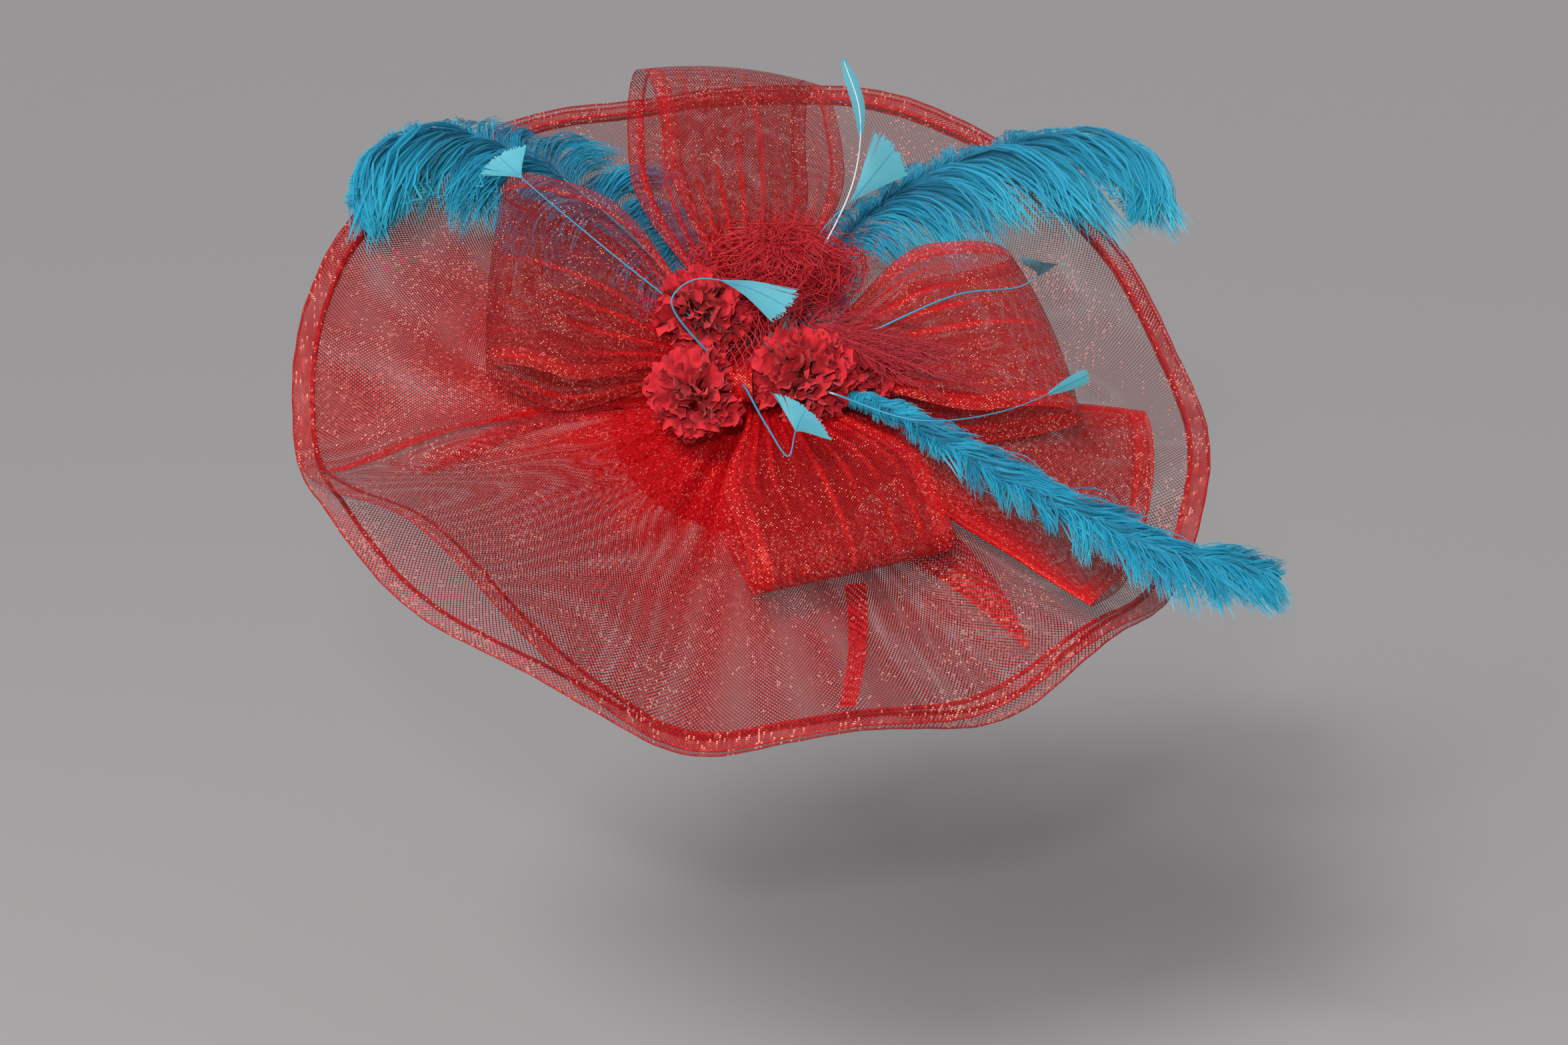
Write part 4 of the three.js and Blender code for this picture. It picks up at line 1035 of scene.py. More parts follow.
def dome_profile(sizes, steps=22):
    """Half a section of the cap, as radius and height: its outside, its rolled rim and its inside."""
    top = cap_top(sizes)
    radius = (sizes.cap_radius ** 2 + sizes.cap_rise ** 2) / (2 * sizes.cap_rise)
    centre = top - radius
    outer = np.linspace(0, math.asin(sizes.cap_radius / radius), steps)
    inner_radius = radius - sizes.cap_wall
    inner = np.linspace(math.acos((top - sizes.cap_rise - centre) / inner_radius), 0, steps)
    outside = np.stack([radius * np.sin(outer), centre + radius * np.cos(outer)], axis=1)
    inside = np.stack([inner_radius * np.sin(inner), centre + inner_radius * np.cos(inner)], axis=1)
    middle = (outside[-1] + inside[0]) / 2
    roll = np.linspace(0.35 * math.pi, -1.25 * math.pi, 11)
    rim_radius = 0.5 * sizes.cap_wall + 0.7 * MM
    rim = middle + rim_radius * np.stack([np.cos(roll), np.sin(roll)], axis=1)
    return np.vstack([outside[:-1], rim, inside[1:]]), len(outside)


class FASCINATOR_OT_cap(bpy.types.Operator):
    """Makes the shallow satin cap, gathered over its dome and rolled at its rim"""

    bl_idname = "fascinator.cap"
    bl_label = "Cap"

    def execute(self, context):
        sizes, colours, _ = settings(context)
        profile, outside = dome_profile(sizes)
        azimuth = np.linspace(0, 360, 241)[:, None]
        radius, height = profile[None, :, 0], profile[None, :, 1]
        share = np.arange(len(profile))[None, :] / outside
        gathers = 0.7 * MM * swell(share, 0.05, 0.95) * np.cos(np.radians(48 * azimuth) + 4 * share)
        points = polar(azimuth, radius, height - np.abs(gathers))
        cloth = stacked(azimuth, run_along(profile)[None, :] / MM)
        mesh = welded(grid_mesh("satin_cap", placed(sizes, points), cloth, wraps=(True, False)))
        material = satin("silk_satin", colours.satin, colours.packed_glow_and_fold_shade)
        set_up("satin_cap", mesh, "cap", material)
        return {"FINISHED"}


def wound_crinoline(name, tint, deep):
    """Crinoline wound tight: closed and glossy, its crossings raised, with painted shade in the hollows
    between them.
    """
    material, tree = start_material(name, Roughness=0.28, IOR=1.53)
    cloth = add(tree, "ShaderNodeUVMap", uv_map="weave")
    cells = add(tree, "ShaderNodeTexVoronoi", {"Vector": cloth, "Scale": 1.0, "Randomness": 0.5}, "Distance")
    # Painted shade: the colour darkens away from each crossing's middle, into the hollows
    tone = blend(tree, cells, 0.0, 0.7, tint, deep)
    bump = add(tree, "ShaderNodeBump", {"Height": cells, "Strength": 0.9, "Distance": 0.5 * MM}, invert=True)
    return finish_material(material, Base_Color=tone, Normal=bump)


class FASCINATOR_OT_knot(bpy.types.Operator):
    """Makes the knot of wound crinoline that everything springs from"""

    bl_idname = "fascinator.knot"
    bl_label = "Knot"

    def execute(self, context):
        sizes, colours, _ = settings(context)
        azimuth = np.linspace(0, 360, 121)[:, None]
        share = np.linspace(0, 1, 41)[None, :]
        under = 0.2
        angle = np.clip((share - under) / (1 - under), 0, 1) * math.pi / 2
        flat = np.clip(share / under, 0, 1)
        wraps = 1 + 0.07 * np.cos(np.radians(9 * azimuth) + 7 * share) * swell(share, 0.15, 0.98)
        radius = sizes.knot_radius * 0.95 * np.where(share < under, flat, np.cos(angle) ** 0.6) * wraps
        points = polar(azimuth, radius, knot_base() + sizes.knot_height * np.sin(angle))
        cells_up = 20
        cloth = stacked(np.radians(azimuth) * sizes.knot_radius / sizes.cell, share * cells_up)
        mesh = welded(grid_mesh("wound_knot", placed(sizes, points), cloth, wraps=(True, False)))
        material = wound_crinoline("wound_nylon_crinoline", colours.satin, colours.packed_glow_and_fold_shade)
        set_up("wound_knot", mesh, "knot", material)
        return {"FINISHED"}


def ostrich(name, tint, deep, tip):
    """Ostrich barb, dyed: a fine shaft with a mist of barbules, deep at the quill and pale at its end."""
    material, tree = start_material(name, Roughness=0.75, Sheen_Weight=0.12, Sheen_Roughness=0.4)
    blade = add(tree, "ShaderNodeUVMap", uv_map="blade")
    along = add(tree, "ShaderNodeSeparateXYZ", [blade])
    across = add(tree, "ShaderNodeMath", [along.node.outputs["Y"]], operation="ABSOLUTE")
    shade = add(tree, "ShaderNodeAttribute", output="Fac", attribute_name="shade")
    # Real barbules are 0.3 mm apart: they are drawn four times as coarse, to show
    barbules_along, slant, shaft_width = 62.0, -1.6, 0.16
    rows = add(tree, "ShaderNodeMath", [along, barbules_along], operation="MULTIPLY")
    slanted = add(tree, "ShaderNodeMath", [across, slant, rows], operation="MULTIPLY_ADD")
    thinning = add(tree, "ShaderNodeMapRange", {"Value": across, "To Min": 0.85, "To Max": 0.3})
    barbules = thread_mask(tree, slanted, thinning)
    shaft = add(tree, "ShaderNodeMath", [across, shaft_width], operation="LESS_THAN")
    alpha = add(tree, "ShaderNodeMath", [barbules, shaft], operation="MAXIMUM")
    outward = add(tree, "ShaderNodeMath", [shade, 0.5, along], operation="MULTIPLY_ADD")
    middle = blend(tree, outward, 0.1, 0.6, deep, tint)
    tone = blend(tree, outward, 0.75, 1.4, middle, tip)
    return finish_material(material, Alpha=alpha, Base_Color=tone)


def horn(name, tint, pale, paleness):
    """Feather shaft, horny and dyed: smooth and half glossy, paler where the dye took badly."""
    material, tree = start_material(name, Roughness=0.4, IOR=1.54)
    place = add(tree, "ShaderNodeTexCoord", output="Object")
    patches = add(tree, "ShaderNodeTexNoise", {"Vector": place, "Scale": 70.0, "Detail": 3.0})
    tone = blend(tree, patches, 0.95 - paleness, 1.1 - paleness, tint, pale)
    grain = add(tree, "ShaderNodeTexNoise", {"Vector": place, "Scale": 1500.0})
    bump = add(tree, "ShaderNodeBump", {"Height": grain, "Strength": 0.2, "Distance": 0.1 * MM})
    return finish_material(material, Base_Color=tone, Normal=bump)


def barb_shape(name, bulge, curl, sway):
    """One barb of unit length along x: two crossed strips that rise, fall and curl at the end."""
    along = np.linspace(0, 1, 9)
    turn = curl * np.clip((along - 0.7) / 0.3, 0, 1)
    middle = np.stack([
        along - 0.1 * (1 - np.cos(turn)),
        sway * np.sin(2.6 * along) * along,
        bulge * np.sin(math.pi * along ** 0.8) - 0.07 * np.sin(turn),
    ], axis=1)
    wide = 0.011 * np.sqrt(np.sin(math.pi * np.clip(0.06 + 0.93 * along, 0, 1)))
    strips = []
    for side in ((0, 1, 0), (0, 0, 1)):
        offset = wide[:, None] * np.array(side)
        points = np.stack([middle - offset, middle + offset], axis=1)
        blade = stacked(along[:, None], np.array([[-1.0, 1.0]]))
        strips.append(grid_mesh(name, points, blade, uv_name="blade"))
    return joined(name, strips)


def plume_path(sizes, row, count=600):
    """The quill's line."""
    root = np.array([*row["root"], 0]) * sizes.knot_radius + np.array([0, 0, knot_base()])
    scale = np.array([sizes.plume_length, sizes.plume_length, sizes.knot_height])
    return smooth_path([root + scale * (s["x"], s["y"], s["z"]) for s in row["stations"]], count)


def plume_barbs(sizes, counts, row, chance):
    """Every barb of a plume: where it starts and ends, which way it bulges, and its shade."""
    path = plume_path(sizes, row)
    ahead = unit(np.gradient(path, axis=0))
    aside = unit(np.cross((0, 0, 1), ahead))
    places = np.linspace(0, 1, len(row["stations"]))
    last = len(path) - 1
    barbs = []
    for side, forwards in (("front", -1), ("back", 1)):
        fringe = np.array([station[side] for station in row["stations"]])
        share = np.sort(chance.uniform(0.03, 0.97, counts.barbs))
        # Barbs cling together in locks, so each lock has a length, a lean and a shade of its own
        lock = np.minimum(share * counts.locks, counts.locks - 1).astype(int)
        lengths = chance.uniform(0.78, 1.12, counts.locks)[lock] * chance.uniform(0.8, 1.02, counts.barbs)
        stray = chance.normal(0, 0.09, (counts.locks, 3))[lock] + chance.normal(0, 0.04, (counts.barbs, 3))
        tone = chance.uniform(-0.45, 0.45, counts.locks)[lock] + chance.uniform(-0.4, 0.4, counts.barbs)
        reach = (sizes.fringe_length * np.interp(share, places, fringe) * lengths)[:, None]
        index = (share * last).astype(int)
        gathered = lerp(share, (lock + 0.5) / counts.locks, chance.uniform(0, 0.6, counts.barbs))
        clung = (gathered * last).astype(int)
        out = aside[clung] * (forwards * np.sign(aside[clung, 1:2]))
        lean = lerp(*row[f"{side}_lean"], share)[:, None]
        if side == "front":
            out = unit(lerp(out, np.array([0, -1, 0]), lerp(*row["hang"], share)[:, None]))
        droop = np.array([0, 0, 0.06])
        tip = path[clung] + reach * (out * np.sqrt(1 - 0.3 * lean ** 2) + lean * ahead[clung] + stray - droop)
        bulge = 0.9 * ahead[index] + np.array([0, 0, 0.45]) + chance.normal(0, 0.2, tip.shape)
        barbs.append((path[index], tip, bulge, tone))
    return [np.concatenate(values) for values in zip(*barbs)]


class FASCINATOR_OT_plumes(bpy.types.Operator):
    """Makes the three ostrich plumes, barb by barb along their quills"""

    bl_idname = "fascinator.plumes"
    bl_label = "Ostrich plumes"

    def execute(self, context):
        sizes, colours, counts = settings(context)
        chance = np.random.default_rng(counts.seed)
        barb_material = ostrich("dyed_ostrich_barb", colours.plume, colours.plume_deep, colours.plume_tip)
        quill_material = horn("dyed_quill", colours.quill, colours.plume, 0.3)
        scatter, tubes = scatter_tree(), strands_tree()
        shapes = shape_set("barb_shapes", [
            barb_shape("barb_plain", 0.2, 0, 0.05),
            barb_shape("barb_arched", 0.27, 1.2, -0.06),
            barb_shape("barb_hooked", 0.18, 3.4, 0.08),
            barb_shape("barb_straight", 0.15, 0.6, -0.03),
        ])
        for number, row in enumerate(PLUMES):
            name = f"ostrich_plume_{row['name']}"
            roots, tips, bulges, shade = plume_barbs(sizes, counts, row, chance)
            roots, tips = placed(sizes, roots), placed(sizes, tips)
            reach = np.linalg.norm(tips - roots, axis=1)
            shortest, least_width, least_bulge = 5 * MM, 60 * MM, 30 * MM
            kept = reach > shortest
            size = stacked(reach, np.maximum(reach, least_width), np.maximum(reach, least_bulge))
            vectors = {"aim": (tips - roots)[kept], "up": turned(sizes, bulges)[kept], "size": size[kept]}
            carrier = point_cloud(name, roots[kept], vectors, {"shade": shade[kept]})
            fringe = grow(name, carrier, scatter, {
                "Shapes": shapes, "Spin": 0.35, "Crumple": 6 * MM, "Crumple scale": 60.0,
                "Seed": counts.seed + number, "Material": barb_material})
            path = placed(sizes, plume_path(sizes, row, 60))
            girth = sizes.quill_radius * np.linspace(1, 0.2, len(path))
            quill = strands(name, [path], [girth], tubes, quill_material)
            set_up(name, joined(name, [fringe, quill]), f"plume_{row['name']}")
        discard(shapes)
        return {"FINISHED"}


def vane(name, tint):
    """Goose vane, stripped and clipped: flat, faintly ribbed along its barbs, split here and there."""
    material, tree = start_material(
        name, Roughness=0.55, IOR=1.5, Subsurface_Weight=0.1, Subsurface_Scale=1 * MM)
    blade = add(tree, "ShaderNodeUVMap", uv_map="blade")
    barb = add(tree, "ShaderNodeSeparateXYZ", [blade])
    along = barb.node.outputs["Y"]
    rib = thread_mask(tree, barb, 0.5)
    # Painted shade: the barbs are a little lighter and the grooves between them darker, besides the bump
    tone = shaded(tree, tint, rib, 0.8, 1.08)
    bump = add(tree, "ShaderNodeBump", {"Height": rib, "Strength": 0.5, "Distance": 0.15 * MM})
    # A few splits between the barbs, open towards the vane's edge, where the barbs' tips fray
    splits_per_barb, split_chance, shortest_tip, fray, cover = 0.14, 0.6, 0.91, 0.08, 0.92
    groups = add(tree, "ShaderNodeMath", [barb, splits_per_barb], operation="MULTIPLY")
    open_share = add(tree, "ShaderNodeMapRange", {
        "Value": along, "From Min": 0.45, "To Min": 0.0, "To Max": 0.2})
    split = thread_mask(tree, groups, open_share)
    number = add(tree, "ShaderNodeMath", [groups], operation="FLOOR")
    drawn = add(tree, "ShaderNodeTexWhiteNoise", {"W": number}, "Value", noise_dimensions="1D")
    chosen = add(tree, "ShaderNodeMath", [drawn, split_chance], operation="GREATER_THAN")
    gone = add(tree, "ShaderNodeMath", [split, chosen], operation="MULTIPLY")
    barb_number = add(tree, "ShaderNodeMath", [barb], operation="FLOOR")
    clipped_at = add(tree, "ShaderNodeTexWhiteNoise", {"W": barb_number}, "Value", noise_dimensions="1D")
    clipped = add(tree, "ShaderNodeMath", [clipped_at, fray, shortest_tip], operation="MULTIPLY_ADD")
    beyond = add(tree, "ShaderNodeMath", [along, clipped], operation="GREATER_THAN")
    missing = add(tree, "ShaderNodeMath", [gone, beyond], operation="MAXIMUM")
    left = add(tree, "ShaderNodeMath", [cover, missing], operation="SUBTRACT")
    return finish_material(material, Alpha=left, Base_Color=tone, Normal=bump)


def feather_head(sizes, row, stem):
    """The clipped vane at a stem's end, in the brim's frame, with its barbs' numbers and lengths.

    A blunt head flares from its root, with barbs that fan out to its far edge. Others are leaves,
    with barbs that slant out to both sides.
    """
    towards_viewer = np.array([0, -0.68, 0.73])
    along = np.linspace(0, 1, 33)
    across = np.linspace(-1, 1, 25)
    blunt = row["blunt"]
    index = (lerp(row["head"], 1, along) * (len(stem) - 1)).astype(int)
    ahead = unit(np.gradient(stem, axis=0))[index][:, None]
    aside = unit(np.cross(towards_viewer, ahead))
    out = np.cross(ahead, aside)
    leaf = np.sin(math.pi * (0.06 + 0.86 * along)) ** 0.8
    wide = sizes.head_width / 2 * row["width"] * lerp(leaf, along ** 1.15 * 1.05 + 0.03, blunt)[:, None, None]
    share = across[None, :, None]
    forwards = lerp(0.3 * np.abs(share), 0.1 - 0.2 * share ** 2 + 0.22 * share, blunt)
    points = stem[index][:, None] + aside * share * wide + ahead * forwards * wide
    points = points - out * 0.16 * wide * share ** 2
    fanned_barbs, slanted_barbs = 26, 70
    side = np.abs(across[None, :])
    if blunt > 0.5:
        blade = stacked(fanned_barbs * across[None, :], along[:, None])
    else:
        blade = stacked(slanted_barbs * (along[:, None] - 0.25 * side), side)
    return points, blade


class FASCINATOR_OT_feathers(bpy.types.Operator):
    """Makes the stripped feathers: bare stems that end in clipped vanes"""

    bl_idname = "fascinator.feathers"
    bl_label = "Stripped feathers"

    def execute(self, context):
        sizes, colours, _ = settings(context)
        vane_material = vane("dyed_goose_vane", colours.vane)
        tubes = strands_tree()
        for row in FEATHERS:
            name = f"stripped_feather_{row['name']}"
            stem_material = horn(f"dyed_stem_{row['name']}", colours.stem, colours.pale_stem, row["pale"])
            stem = smooth_path(np.array(row["points"]) * sizes.feather_length, 400)
            points, blade = feather_head(sizes, row, stem)
            head = grid_mesh(name, placed(sizes, points), blade, uv_name="blade")
            head.materials.append(vane_material)
            line = placed(sizes, stem[::6])
            girth = sizes.stem_radius * np.linspace(1, 0.3, len(line))
            tube = strands(name, [line], [girth], tubes, stem_material)
            set_up(name, joined(name, [head, tube]), f"feather_{row['name']}")
        return {"FINISHED"}


def silk(name, tint, deep):
    """Flower silk, stiffened and crushed by hand: matt, finely woven, with painted shade in its creases and
    towards each petal's root.
    """
    material, tree = start_material(name, Roughness=0.82, Sheen_Weight=0.08, Sheen_Roughness=0.5)
    blade = add(tree, "ShaderNodeUVMap", uv_map="blade")
    place = add(tree, "ShaderNodeTexCoord", output="Object")
    outward = add(tree, "ShaderNodeSeparateXYZ", [blade])
    creases = add(tree, "ShaderNodeTexNoise", {
        "Vector": place, "Scale": 240.0, "Detail": 4.0, "Distortion": 1.0})
    # Painted shade: darker towards each petal's root, inside the flower, and in the creases of a noise
    mixed = add(tree, "ShaderNodeMath", [outward, 0.6, creases], operation="MULTIPLY_ADD")
    tone = blend(tree, mixed, 0.45, 1.0, deep, tint)
    bump = add(tree, "ShaderNodeBump", {"Height": creases, "Strength": 0.6, "Distance": 0.8 * MM})
    return finish_material(material, Base_Color=tone, Normal=bump)


def petal_shape(name, ruffles, phase):
    """A petal of unit length along x: narrow at its root, wide, cupped and ruffled at its end."""
    along = np.linspace(0, 1, 10)[:, None]
    across = np.linspace(-1, 1, 13)[None, :]
    wide = 0.1 + 0.48 * smoothstep(along, 0, 0.75)
    reach = along * (1 - 0.16 * across ** 2 + 0.04 * np.sin(7 * across + phase))
    ruffle = 0.11 * np.sin(ruffles * across + phase) * along ** 2
    frill = 0.05 * np.sin(2.3 * ruffles * across) * along ** 3
    height = 0.2 * along ** 2 + 0.16 * across ** 2 * along + ruffle + frill
    return grid_mesh(name, stacked(reach, across * wide, height), stacked(along, across), uv_name="blade")


class FASCINATOR_OT_flowers(bpy.types.Operator):
    """Makes the silk flowers, each a ball of crushed petals"""

    bl_idname = "fascinator.flowers"
    bl_label = "Silk flowers"

    def execute(self, context):
        sizes, colours, counts = settings(context)
        chance = np.random.default_rng(counts.seed + 1)
        material = silk("crushed_flower_silk", colours.silk, colours.silk_shade)
        scatter = scatter_tree()
        shapes = shape_set("petal_shapes", [
            petal_shape("petal_wide", 5, 0.3),
            petal_shape("petal_ruffled", 8, 1.4),
            petal_shape("petal_curled", 6.5, 2.6),
        ])
        for number, row in enumerate(FLOWERS):
            name = f"silk_flower_{row['name']}"
            centre = np.array([row["x"], row["y"], row["z"]]) * sizes.flower_radius
            radius = sizes.flower_radius * row["size"]
            places = np.arange(row["petals"]) + 0.5
            level = 1 - 1.5 * places / row["petals"]
            golden_angle = math.pi * (3 - math.sqrt(5))
            angle = places * golden_angle
            flat = np.sqrt(1 - level ** 2)
            outward = stacked(flat * np.cos(angle), flat * np.sin(angle), level)
            sideways = unit(np.cross(outward, chance.normal(0, 1, outward.shape)))
            core, flatness = 0.52, 0.78
            roots = centre + outward * np.array([1, 1, flatness]) * radius * core
            size = np.repeat(radius * chance.uniform(0.48, 0.64, (row["petals"], 1)), 3, axis=1)
            aim = turned(sizes, 0.8 * outward + 0.7 * sideways)
            vectors = {"aim": aim, "up": turned(sizes, outward), "size": size}
            carrier = point_cloud(name, placed(sizes, roots), vectors, {})
            mesh = grow(name, carrier, scatter, {
                "Shapes": shapes, "Spin": 0.9, "Crumple": 7 * MM, "Crumple scale": 150.0,
                "Seed": counts.seed + number, "Material": material})
            set_up(name, mesh, f"flower_{row['name']}")
        discard(shapes)
        return {"FINISHED"}


def netting(name, tint):
    """Veiling net, twisted nylon: slim strands with a dull gloss."""
    material, tree = start_material(name, Roughness=0.55, IOR=1.53)
    place = add(tree, "ShaderNodeTexCoord", output="Object")
    twist = add(tree, "ShaderNodeTexNoise", {"Vector": place, "Scale": 400.0, "Detail": 2.0})
    return finish_material(material, Base_Color=shaded(tree, tint, twist, 0.6, 1.3))


def diamonds(point, columns, rows):
    """Lines of a diamond net over a surface given as point(u, v), with u and v from 0 to 1."""
    def crossing(i, j):
        return np.array(point((i + 0.5 * (j % 2)) / columns, j / rows))

    return [
        np.linspace(crossing(i, j), crossing(i + lean, j + 1), 4)
        for j in range(rows) for i in range(columns) for lean in (0, 1 if j % 2 else -1)]


def net_lines(sizes, chance, curls=620):
    """Diamond net over nested mounds, two flaps of it over the knot, and curls that stray from it."""
    centre = np.array(NET_CENTRE) * sizes.net_radius
    radii = np.array(NET_HALF_SIZES) * sizes.net_radius
    lines = []
    for mound in MOUNDS:
        def on_mound(u, v):
            level, angle = lerp(-0.85, 0.97, v), 2 * math.pi * u
            flat = math.sqrt(1 - level ** 2)
            return centre + mound["size"] * radii * (flat * math.cos(angle), flat * math.sin(angle), level)

        lines += diamonds(on_mound, mound["round"], mound["up"])
    for drop in (0, FLAP["gap"] * MM):
        def on_flap(u, v):
            height = FLAP["height"] - FLAP["fall"] * v - FLAP["sag"] * (2 * u - 1) ** 2
            x, y = lerp(FLAP["from"], FLAP["to"], u), lerp(FLAP["to"], FLAP["from"], v)
            return (x * MM, y * MM, height * MM - drop)

        lines += diamonds(on_flap, 18, 16)
    strand = 0.32 * MM
    girths = [np.full(4, strand)] * len(lines)
    for _ in range(curls):
        direction = unit(chance.normal(0, 1, 3) + np.array([0.1, 0, 0.5]))
        start = centre + radii * direction * chance.uniform(0.3, 0.95)
        places = np.linspace(0, 1, 16)[:, None]
        first = unit(np.cross(direction, chance.normal(0, 1, 3)))
        second = np.cross(direction, first)
        winding = chance.uniform(3, 11) * places
        run = chance.uniform(4, 26) * MM * places * (direction + 0.5 * first)
        radius = chance.uniform(2, 7) * MM
        circle = np.cos(winding) * first + np.sin(winding) * second
        lines.append(start + run + radius * (circle - first))
        girths.append(np.linspace(0.3 * MM, 0.15 * MM, 16))
    return lines, girths


class FASCINATOR_OT_net(bpy.types.Operator):
    """Makes the crumpled mound of veiling net"""

    bl_idname = "fascinator.net"
    bl_label = "Crumpled net"

    def execute(self, context):
        sizes, colours, counts = settings(context)
        lines, girths = net_lines(sizes, np.random.default_rng(counts.seed + 2))
        lines = [placed(sizes, line) for line in lines]
        material = netting("nylon_veiling", colours.net)
        mesh = strands(
            "veiling_net", lines, girths, strands_tree(), material,
            sides=3, tangle=16 * MM, tangle_scale=48.0)
        set_up("veiling_net", mesh, "net_mound")
        return {"FINISHED"}


def wisp_lines(sizes, row, chance, steps=60):
    """A wisp's shaft, which bends as it goes, and the fine barbs along it."""
    places = np.linspace(0, 1, steps)
    heading = np.radians(HACKLE_TURN + row["turn"] + row["bend"] * places)
    climb = np.radians(lerp(*HACKLE_RISE, places))
    step = sizes.wisp_length * row["reach"] / steps
    flat = np.cos(climb)
    moves = step * stacked(flat * np.cos(heading), flat * np.sin(heading), np.sin(climb))
    knot = sizes.knot_radius
    root = np.array([0.9 * knot, 0.4 * knot, knot_base() + 2 * sizes.knot_height])
    shaft = root + np.cumsum(moves, axis=0)
    lines, girths = [shaft], [np.linspace(0.6 * MM, 0.2 * MM, steps)]
    ahead = unit(moves)
    barb_length = 15 * MM
    for index in range(5, steps):
        for side in (-1, 1):
            aside = unit(np.cross((0, 0, side), ahead[index]) + chance.normal(0, 0.35, 3))
            reach = barb_length * math.sin(math.pi * (0.15 + 0.8 * places[index]))
            tip = shaft[index] + reach * (0.85 * ahead[index] + 0.45 * aside)
            middle = (shaft[index] + tip) / 2 + 0.12 * reach * aside
            lines.append(np.stack([shaft[index], middle, tip]))
            girths.append(np.array([0.24, 0.2, 0.1]) * MM)
    return lines, girths


class FASCINATOR_OT_hackle(bpy.types.Operator):
    """Makes the tuft of red hackle beside the flowers"""

    bl_idname = "fascinator.hackle"
    bl_label = "Hackle"

    def execute(self, context):
        sizes, colours, counts = settings(context)
        chance = np.random.default_rng(counts.seed + 3)
        lines, girths = [], []
        for row in WISPS:
            wisp, girth = wisp_lines(sizes, row, chance)
            lines += wisp
            girths += girth
        lines = [placed(sizes, line) for line in lines]
        material = netting("dyed_hackle", colours.hackle)
        mesh = strands(
            "red_hackle", lines, girths, strands_tree(), material,
            sides=3, tangle=2 * MM, tangle_scale=60.0)
        set_up("red_hackle", mesh, "hackle")
        return {"FINISHED"}


def acetate(name, tint):
    """Cellulose acetate, moulded: clear red with a soft gloss and faint flow lines."""
    material, tree = start_material(name, IOR=1.48, Transmission_Weight=0.25)
    place = add(tree, "ShaderNodeTexCoord", output="Object")
    flow = add(tree, "ShaderNodeTexNoise", {
        "Vector": place, "Scale": 120.0, "Detail": 2.0, "Distortion": 2.0})
    scratches = add(tree, "ShaderNodeMapRange", {"Value": flow, "To Min": 0.12, "To Max": 0.3})
    return finish_material(material, Base_Color=shaded(tree, tint, flow, 0.7, 1.3), Roughness=scratches)


class FASCINATOR_OT_comb(bpy.types.Operator):
    """Finishes the comb inside the cap"""

    bl_idname = "fascinator.comb"
    bl_label = "Comb"

    def execute(self, context):
        comb = frame["nodes"]["comb"]
        comb.data.materials.clear()
        comb.data.materials.append(acetate("moulded_acetate", context.scene.fascinator_colours.comb))
        return {"FINISHED"}


def aim_camera():
    """The camera, level from side to side and tilted down from the upright."""
    data = bpy.data.cameras.new("camera")
    data.lens, data.sensor_width = CAMERA_LENS, CAMERA_SENSOR
    data.clip_end = 100
    camera = bpy.data.objects.new("camera", data)
    camera.location = CAMERA_PLACE
    camera.rotation_euler = (CAMERA_TILT, 0, 0)
    bpy.context.scene.collection.objects.link(camera)
    bpy.context.scene.camera = camera


def add_light(row, target):
    """A soft light that looks at a point."""
    data = bpy.data.lights.new(row["name"], row["kind"])
    data.energy = row["energy"]
    if row["kind"] == "SUN":
        data.angle = math.radians(row["size"])
    else:
        data.size = row["size"]
    light = bpy.data.objects.new(row["name"], data)
    light.location = row["place"]
    light.rotation_euler = (Vector(target) - light.location).to_track_quat("-Z", "Y").to_euler()
    bpy.context.scene.collection.objects.link(light)


def paper(name, tint):
    """Seamless background paper: matt, with a faint fibre grain."""
    material, tree = start_material(name, Roughness=0.9)
    place = add(tree, "ShaderNodeTexCoord", output="Object")
    grain = add(tree, "ShaderNodeTexNoise", {"Vector": place, "Scale": 900.0, "Detail": 2.0})
    bump = add(tree, "ShaderNodeBump", {"Height": grain, "Strength": 0.05, "Distance": 0.1 * MM})
    return finish_material(material, Base_Color=shaded(tree, tint, grain, 0.98, 1.02), Normal=bump)


class FASCINATOR_OT_stage(bpy.types.Operator):
    """Sets the pale floor, the soft lights and the camera"""

    bl_idname = "fascinator.stage"
    bl_label = "Stage"

    def execute(self, context):
        scene = context.scene
        half, height, lit = 16, -0.4, (0, 0, 0.05)
        corners = [(x * half, y * half, height) for x, y in ((-1, -1), (1, -1), (1, 1), (-1, 1))]
        mesh = bpy.data.meshes.new("floor")
        mesh.from_pydata(corners, [], [(0, 1, 2, 3)])
        floor = new_object("floor", mesh)
        mesh.materials.append(paper("background_paper", scene.fascinator_colours.floor))
        for row in LIGHTS:
            add_light(row, lit)
        world = bpy.data.worlds.new("studio")
        world.use_nodes = True
        background = world.node_tree.nodes["Background"]
        background.inputs["Color"].default_value = to_linear(WORLD_COLOUR)
        background.inputs["Strength"].default_value = WORLD_STRENGTH
        scene.world = world
        scene.view_settings.view_transform = "Standard"
        # Rays pass through many layers of open mesh and of barbs
        scene.cycles.transparent_max_bounces = 64
        aim_camera()
        return {"FINISHED"}


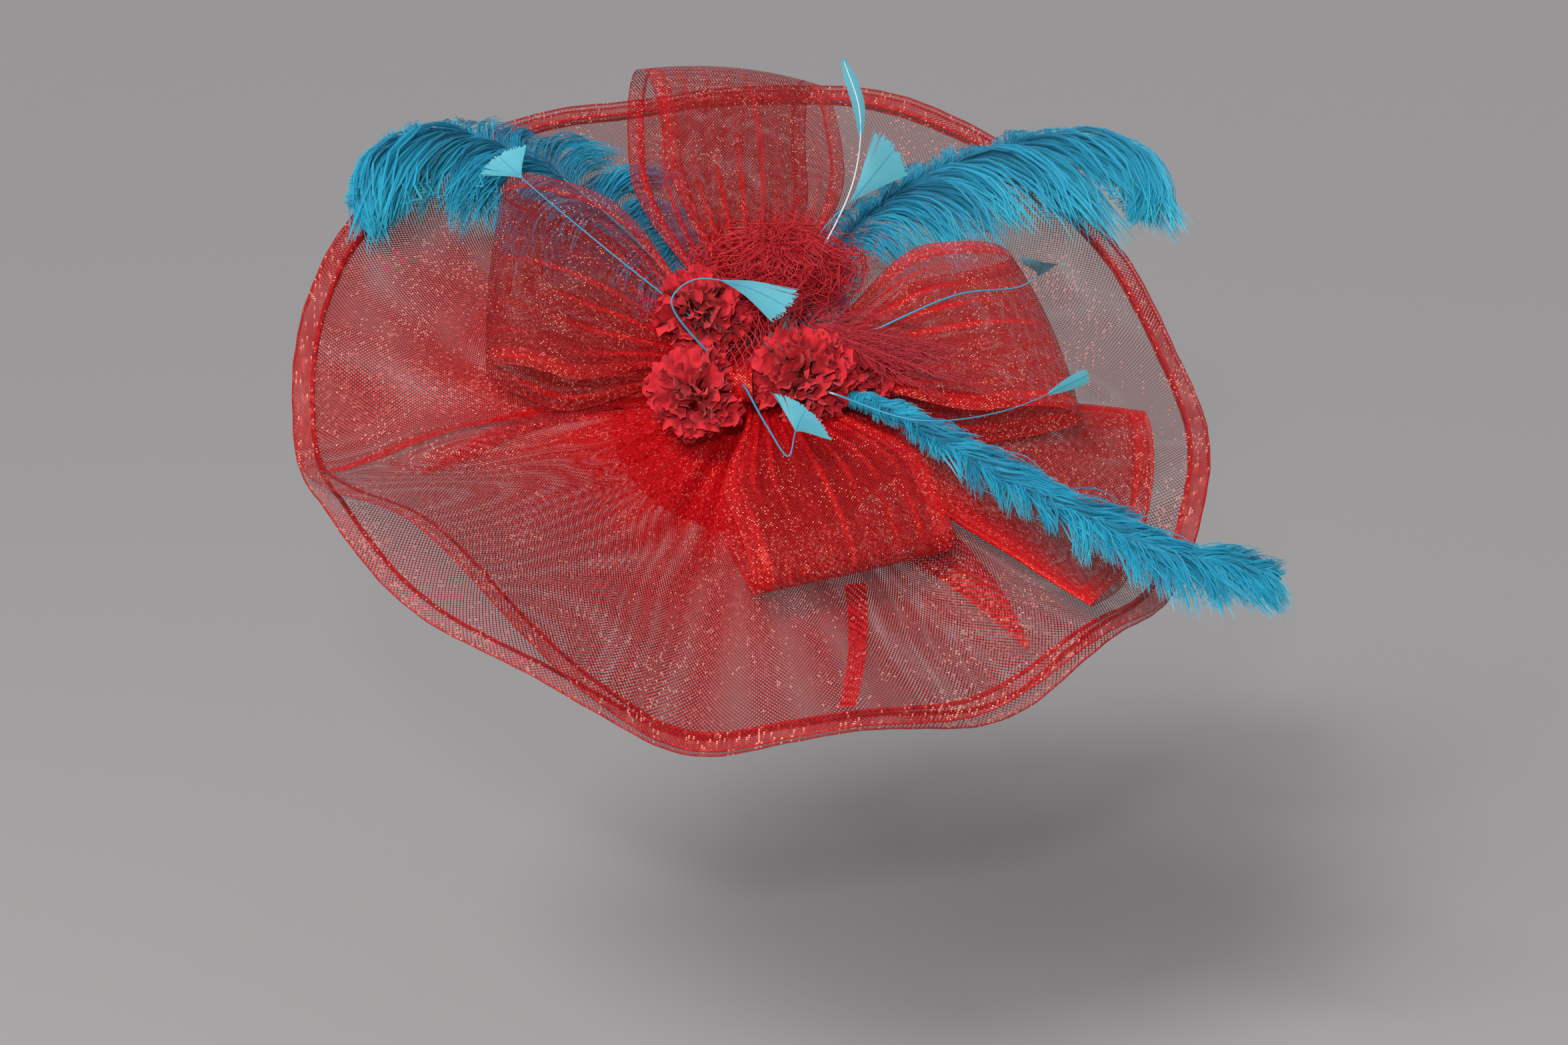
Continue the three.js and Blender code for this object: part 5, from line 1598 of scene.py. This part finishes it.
class FASCINATOR_PT_pieces(bpy.types.Panel):
    """Lists the fascinator's pieces, sizes and colours"""

    bl_idname = "FASCINATOR_PT_pieces"
    bl_label = "Fascinator"
    bl_space_type = "VIEW_3D"
    bl_region_type = "UI"
    bl_category = "Fascinator"

    def draw(self, context):
        for operator in OPERATORS:
            self.layout.operator(operator.bl_idname)
        for group in settings(context):
            box = self.layout.box()
            for name in group.__annotations__:
                box.prop(group, name)


OPERATORS = (
    FASCINATOR_OT_stage,
    FASCINATOR_OT_cap,
    FASCINATOR_OT_comb,
    FASCINATOR_OT_brim,
    FASCINATOR_OT_hems,
    FASCINATOR_OT_knot,
    FASCINATOR_OT_loops,
    FASCINATOR_OT_fan,
    FASCINATOR_OT_plumes,
    FASCINATOR_OT_feathers,
    FASCINATOR_OT_flowers,
    FASCINATOR_OT_net,
    FASCINATOR_OT_hackle,
)
GROUPS = (FascinatorSizes, FascinatorColours, FascinatorCounts)


def register():
    for group in (*GROUPS, *OPERATORS, FASCINATOR_PT_pieces):
        bpy.utils.register_class(group)
    bpy.types.Scene.fascinator_sizes = PointerProperty(type=FascinatorSizes)
    bpy.types.Scene.fascinator_colours = PointerProperty(type=FascinatorColours)
    bpy.types.Scene.fascinator_counts = PointerProperty(type=FascinatorCounts)


def unregister():
    del bpy.types.Scene.fascinator_sizes
    del bpy.types.Scene.fascinator_colours
    del bpy.types.Scene.fascinator_counts
    for group in reversed((*GROUPS, *OPERATORS, FASCINATOR_PT_pieces)):
        bpy.utils.unregister_class(group)


def main():
    """Makes every piece."""
    register()
    bpy.ops.fascinator.stage()
    bpy.ops.fascinator.cap()
    bpy.ops.fascinator.comb()
    bpy.ops.fascinator.brim()
    bpy.ops.fascinator.hems()
    bpy.ops.fascinator.knot()
    bpy.ops.fascinator.loops()
    bpy.ops.fascinator.fan()
    bpy.ops.fascinator.plumes()
    bpy.ops.fascinator.feathers()
    bpy.ops.fascinator.flowers()
    bpy.ops.fascinator.net()
    bpy.ops.fascinator.hackle()


if __name__ == "__main__":
    main()
